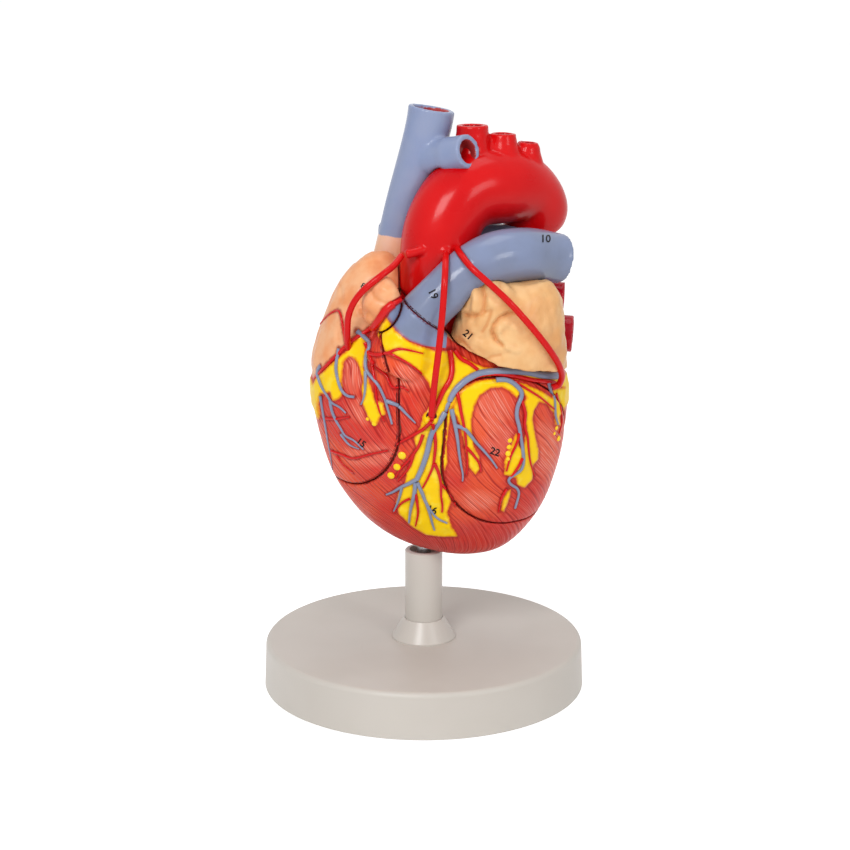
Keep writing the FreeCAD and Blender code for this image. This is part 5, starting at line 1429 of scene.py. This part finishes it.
def nodeTree(name, sockets):
    tree = bpy.data.node_groups.new(name, "GeometryNodeTree")
    tree.interface.new_socket("Geometry", in_out="INPUT", socket_type="NodeSocketGeometry")
    keys = {}
    for label, kind, value in sockets:
        socket = tree.interface.new_socket(label, in_out="INPUT", socket_type=kind)
        if value is not None:
            socket.default_value = value
        keys[label] = socket.identifier
    tree.interface.new_socket("Geometry", in_out="OUTPUT", socket_type="NodeSocketGeometry")
    return Board(tree), tree.nodes.new("NodeGroupInput").outputs, \
        tree.nodes.new("NodeGroupOutput").inputs, keys


def vesselTree():
    # tubes along curves: each point's radius comes from the curve
    board, given, out, keys = nodeTree("coronaryVessels", [
        ("Step", "NodeSocketFloat", laying["step"] * mm), ("Sides", "NodeSocketInt", laying["sides"]),
        ("Paint", "NodeSocketMaterial", None)])
    even = board.add("GeometryNodeResampleCurve", {"mode": "LENGTH"}, Curve=given["Geometry"],
                     Length=given["Step"])
    ring = board.add("GeometryNodeCurvePrimitiveCircle", Resolution=given["Sides"], Radius=1.0)
    tube = board.add("GeometryNodeCurveToMesh", Curve=even.outputs[0])
    board.put(tube.inputs["Profile Curve"], ring.outputs[0])
    tube.inputs["Fill Caps"].default_value = True
    if "Scale" in tube.inputs:
        radius = board.add("GeometryNodeInputRadius")
        board.put(tube.inputs["Scale"], radius.outputs[0])
    smooth = board.add("GeometryNodeSetShadeSmooth", Geometry=tube.outputs[0])
    whole = board.add("GeometryNodeRealizeInstances", Geometry=smooth.outputs[0])
    painted = board.add("GeometryNodeSetMaterial", Geometry=whole.outputs[0],
                        Material=given["Paint"])
    board.put(out["Geometry"], painted.outputs[0])
    return board.tree, keys


def dropTree():
    # small round drops standing on points, each as large as its point's size
    board, given, out, keys = nodeTree("fatDrops", [
        ("Flatness", "NodeSocketFloat", 0.6), ("Paint", "NodeSocketMaterial", None)])
    ball = board.add("GeometryNodeMeshIcoSphere", Radius=1.0, Subdivisions=3)
    size = board.add("GeometryNodeInputNamedAttribute", {"data_type": "FLOAT"}, Name="size")
    way = board.add("GeometryNodeInputNamedAttribute", {"data_type": "FLOAT_VECTOR"}, Name="way")
    turn = board.add("FunctionNodeAlignRotationToVector", {"axis": "Z"}, Vector=way.outputs[0])
    flat = board.add("ShaderNodeMath", {"operation": "MULTIPLY"}, i0=size.outputs[0],
                     i1=given["Flatness"])
    scale = board.add("ShaderNodeCombineXYZ", X=size.outputs[0], Y=size.outputs[0],
                      Z=flat.outputs[0])
    stand = board.add("GeometryNodeInstanceOnPoints", Points=given["Geometry"],
                      Instance=ball.outputs[0], Rotation=turn.outputs[0], Scale=scale.outputs[0])
    whole = board.add("GeometryNodeRealizeInstances", Geometry=stand.outputs[0])
    smooth = board.add("GeometryNodeSetShadeSmooth", Geometry=whole.outputs[0])
    painted = board.add("GeometryNodeSetMaterial", Geometry=smooth.outputs[0],
                        Material=given["Paint"])
    board.put(out["Geometry"], painted.outputs[0])
    return board.tree, keys


trees = {"vessel": vesselTree(), "drop": dropTree()}


def grow(name, data, tree, **values):
    # runs a node tree over some data and keeps the result as a plain mesh
    obj = addObject(name, data)
    modifier = obj.modifiers.new("grow", "NODES")
    modifier.node_group, keys = trees[tree]
    for label, value in values.items():
        modifier[keys[label]] = value
    made = takeMesh(obj)
    made.name = name
    return addObject(name, made)


def growVessels(name, runs, paint):
    curve = bpy.data.curves.new(name, "CURVE")
    curve.dimensions = "3D"
    for points in runs:
        line = curve.splines.new("POLY")
        line.points.add(len(points) - 1)
        for point, (place, radius) in zip(line.points, evenOut(points)):
            point.co = (*place, 1)
            point.radius = radius
    return grow(name, curve, "vessel", Paint=paint)


def layCoronaries():
    for kind, slotName in (("veins", "vein_blue"), ("arteries", "artery_red")):
        runs = {}
        for table, cast, gap in ((coronary, fromFront, laying["frontGap"]),
                                 (rearVessels, fromBehind, laying["rearGap"])):
            for start, end, route in table[kind].values():
                for body, points in layRoute(route, (start, end), cast, gap):
                    runs.setdefault(body, []).append(points)
        for body, found in runs.items():
            label = bodyLabels[body] + kind.capitalize()
            paint = finishes["vein" if kind == "veins" else "artery"]
            settle(label, growVessels(label, found, paint), body, slotName)
            print("vessels laid:", label, len(found), "runs")


layCoronaries()


def shadeBeside():
    # mm from each corner of a casting to the side of the nearest vessel, for the dark painted outline
    # that also stands in for the shade at each vessel's foot
    near = KDTree(len(vesselPoints))
    for number, (place, _) in enumerate(vesselPoints):
        near.insert(place, number)
    near.balance()
    for label in ("heartBody", "rightWall", "leftWall"):
        data = pieces[label].data
        gaps = []
        for corner in data.vertices:
            _, number, far = near.find(corner.co)
            gaps.append((far - vesselPoints[number][1]) / mm)
        store = data.attributes.new("beside", "FLOAT", "POINT")
        store.data.foreach_set("value", gaps)


shadeBeside()


def layDrops():
    byBody = {}
    for x, y, size in fatDrops:
        place, normal, body = onSkin(*fromFront((x, y)))
        if place is not None:
            byBody.setdefault(body, []).append((place, normal, size * pixelSize))
    for body, drops in byBody.items():
        label = bodyLabels[body] + "FatDrops"
        data = bpy.data.meshes.new(label)
        data.from_pydata([place for place, _, _ in drops], [], [])
        sizeStore = data.attributes.new("size", "FLOAT", "POINT")
        sizeStore.data.foreach_set("value", [size for _, _, size in drops])
        wayStore = data.attributes.new("way", "FLOAT_VECTOR", "POINT")
        wayStore.data.foreach_set("vector", [c for _, way, _ in drops for c in way])
        settle(label, grow(label, data, "drop", Paint=finishes["fatDrop"]), body, "muscle")
    print("fat drops laid:", len(fatDrops))


layDrops()


# ---- the other parts keep their CAD shape and get their finish
plainParts = {
    "base_disc": ("stand", "stand_plastic"), "base_feet": ("rubber", "foot_rubber"),
    "base_washer": ("steel", "steel"), "base_screw": ("steel", "steel"),
    "column_tube": ("column", "stand_plastic"), "column_collar": ("column", "stand_plastic"),
    "column_plug": ("bush", "bush_plastic"), "support_rod": ("steel", "steel"),
    "rod_bush": ("bush", "bush_plastic"), "tricuspid_valve": ("valve", "valve_cream"),
    "mitral_valve": ("valve", "valve_cream"), "aortic_valve": ("valve", "valve_cream"),
    "pulmonary_valve": ("valve", "valve_cream"), "right_papillary_muscles": ("muscle", "inner_muscle"),
    "left_papillary_muscles": ("muscle", "inner_muscle"), 
    "right_wall_pins": ("pin", "pin_metal"), "left_wall_pins": ("pin", "pin_metal"),
    "bypass_right": ("bypass", "artery_red"),
    "bypass_middle": ("bypass", "artery_red"), "bypass_left": ("bypass", "artery_red"),
}
for name, (finishName, slotName) in plainParts.items():
    data = nodes[name].data
    data.materials.clear()
    data.materials.append(finishes[finishName])
print("plain parts painted:", len(plainParts))


# ---- small printed numbers
numbers = {         # text, pixel place of its middle, turn in degrees, height in mm
    "trunkEnd": ("10", (545.5, 239), 0, 4.2), "trunkRoot": ("19", (433, 294), 62, 4.2),
    "auricle": ("21", (468, 335), 40, 4.0), "atrium": ("8", (363, 286), 30, 3.2),
    "wall": ("15", (361, 443), 35, 3.8), "leftWall": ("22", (495, 452), 20, 4.0),
    "groove": ("16", (432, 510), 20, 4.0),
}


printing = {"capHeight": 0.72, "bold": 0.1, "edge": 0.6, "out": 0.12, "nearer": 0.1}    # mm


def splitEdges(data, longest):
    # short edges let a flat letter follow a round surface
    shape = bmesh.new()
    shape.from_mesh(data)
    for _ in range(6):
        bmesh.ops.triangulate(shape, faces=shape.faces)
        wide = [edge for edge in shape.edges if edge.calc_length() > longest]
        if not wide:
            break
        bmesh.ops.subdivide_edges(shape, edges=wide, cuts=1)
    bmesh.ops.triangulate(shape, faces=shape.faces)
    shape.to_mesh(data)
    shape.free()


def printNumbers():
    grouped = {}
    for text, (x, y), turn, height in numbers.values():
        curve = bpy.data.curves.new("number", "FONT")
        curve.body = text
        curve.size = height / printing["capHeight"] * mm
        curve.align_x = "CENTER"
        curve.align_y = "CENTER"
        curve.resolution_u = 3
        curve.offset = printing["bold"] * mm
        obj = addObject("number", curve)
        made = takeMesh(obj)
        splitEdges(made, printing["edge"] * mm)
        lean = math.radians(-turn)
        spots, body = [], None
        for v in made.vertices:
            u = (v.co.x * math.cos(lean) - v.co.y * math.sin(lean)) / pixelSize
            w = (v.co.x * math.sin(lean) + v.co.y * math.cos(lean)) / pixelSize
            start, way = fromFront((x + u, y - w))
            place, out, owner = onSkin(start, way)
            if place is None:
                break
            body = body or owner
            spots.append(place + out * printing["out"] * mm - way * printing["nearer"] * mm)
        if len(spots) == len(made.vertices) and body:
            grouped.setdefault(body, []).append((spots, [tuple(f.vertices) for f in made.polygons]))
    for body, parts in grouped.items():
        spots, faces = [], []
        for some, polygons in parts:
            faces.extend(tuple(v + len(spots) for v in f) for f in polygons)
            spots.extend(some)
        label = bodyLabels[body] + "Numbers"
        data = bpy.data.meshes.new(label)
        data.from_pydata(spots, [], faces)
        data.materials.append(finishes["ink"])
        settle(label, addObject(label, data), body, "stand_plastic")
    print("numbers printed:", len(numbers))


printNumbers()


# ---- floor and lights
studio = {
    "floorSize": 24.0, "floorColour": (0.86, 0.86, 0.86, 1), "floorPale": (0.9, 0.9, 0.9, 1),
    "floorPatch": 300, "floorGlow": 0.62, "skyStrength": 0.46, "aim": (0, 0, 0.17),
    "keyPower": 9.8, "keySize": 0.5, "keyPlace": (-0.42, -1.08, 1.02),
    "fillPower": 3.0, "fillSize": 0.4, "fillPlace": (0.8, -0.9, 0.72),
    "topPower": 2.4, "topSize": 0.6, "topPlace": (0.1, 0.15, 1.35),
}


def whiteRays(board, rays):
    # the rays that see the room white: the camera's, and those off shiny and clear surfaces
    seen = board.sums("MAXIMUM", rays.outputs["Is Camera Ray"], rays.outputs["Is Glossy Ray"])
    return board.sums("MAXIMUM", seen, rays.outputs["Is Transmission Ray"])


def layFloor():
    half = studio["floorSize"] / 2
    data = bpy.data.meshes.new("floor")
    data.from_pydata([(-half, -half, 0), (half, -half, 0), (half, half, 0), (-half, half, 0)],
                     [], [(0, 1, 2, 3)])
    obj = addObject("floor", data)
    material = bpy.data.materials.new("paleFloor")
    material.use_nodes = True
    board = Board(material.node_tree)
    board.tree.nodes.clear()
    spots = board.add("ShaderNodeTexCoord").outputs["Object"]
    shade = board.mix(board.noise(spots, studio["floorPatch"]), studio["floorColour"],
                      studio["floorPale"])
    plain = board.add("ShaderNodeBsdfDiffuse", Color=shade)
    lit = board.add("ShaderNodeEmission", Color=(1, 1, 1, 1),
                    Strength=studio["floorGlow"])
    rays = board.add("ShaderNodeLightPath")
    seen = whiteRays(board, rays)
    both = board.add("ShaderNodeAddShader", i0=plain.outputs[0], i1=lit.outputs[0])
    shader = board.add("ShaderNodeMixShader", i0=seen, i1=plain.outputs[0], i2=both.outputs[0])
    board.add("ShaderNodeOutputMaterial", Surface=shader.outputs[0])
    data.materials.append(material)


def lightScene():
    world = bpy.data.worlds.new("paleRoom")
    world.use_nodes = True
    board = Board(world.node_tree)
    board.tree.nodes.clear()
    rays = board.add("ShaderNodeLightPath")
    soft = board.add("ShaderNodeBackground", Color=(1, 1, 1, 1), Strength=studio["skyStrength"])
    white = board.add("ShaderNodeBackground", Color=(1, 1, 1, 1), Strength=1.0)
    both = board.add("ShaderNodeMixShader", i0=whiteRays(board, rays), i1=soft.outputs[0],
                     i2=white.outputs[0])
    board.add("ShaderNodeOutputWorld", Surface=both.outputs[0])
    scene.world = world
    for name in ("key", "fill", "top"):
        data = bpy.data.lights.new(name + "Light", "AREA")
        data.energy = studio[name + "Power"]
        data.size = studio[name + "Size"]
        obj = addObject(name + "Light", data)
        obj.location = studio[name + "Place"]
        obj.rotation_euler = (Vector(studio["aim"]) - obj.location).to_track_quat(
            "-Z", "Y").to_euler()


layFloor()
lightScene()
scene.view_settings.view_transform = "Standard"
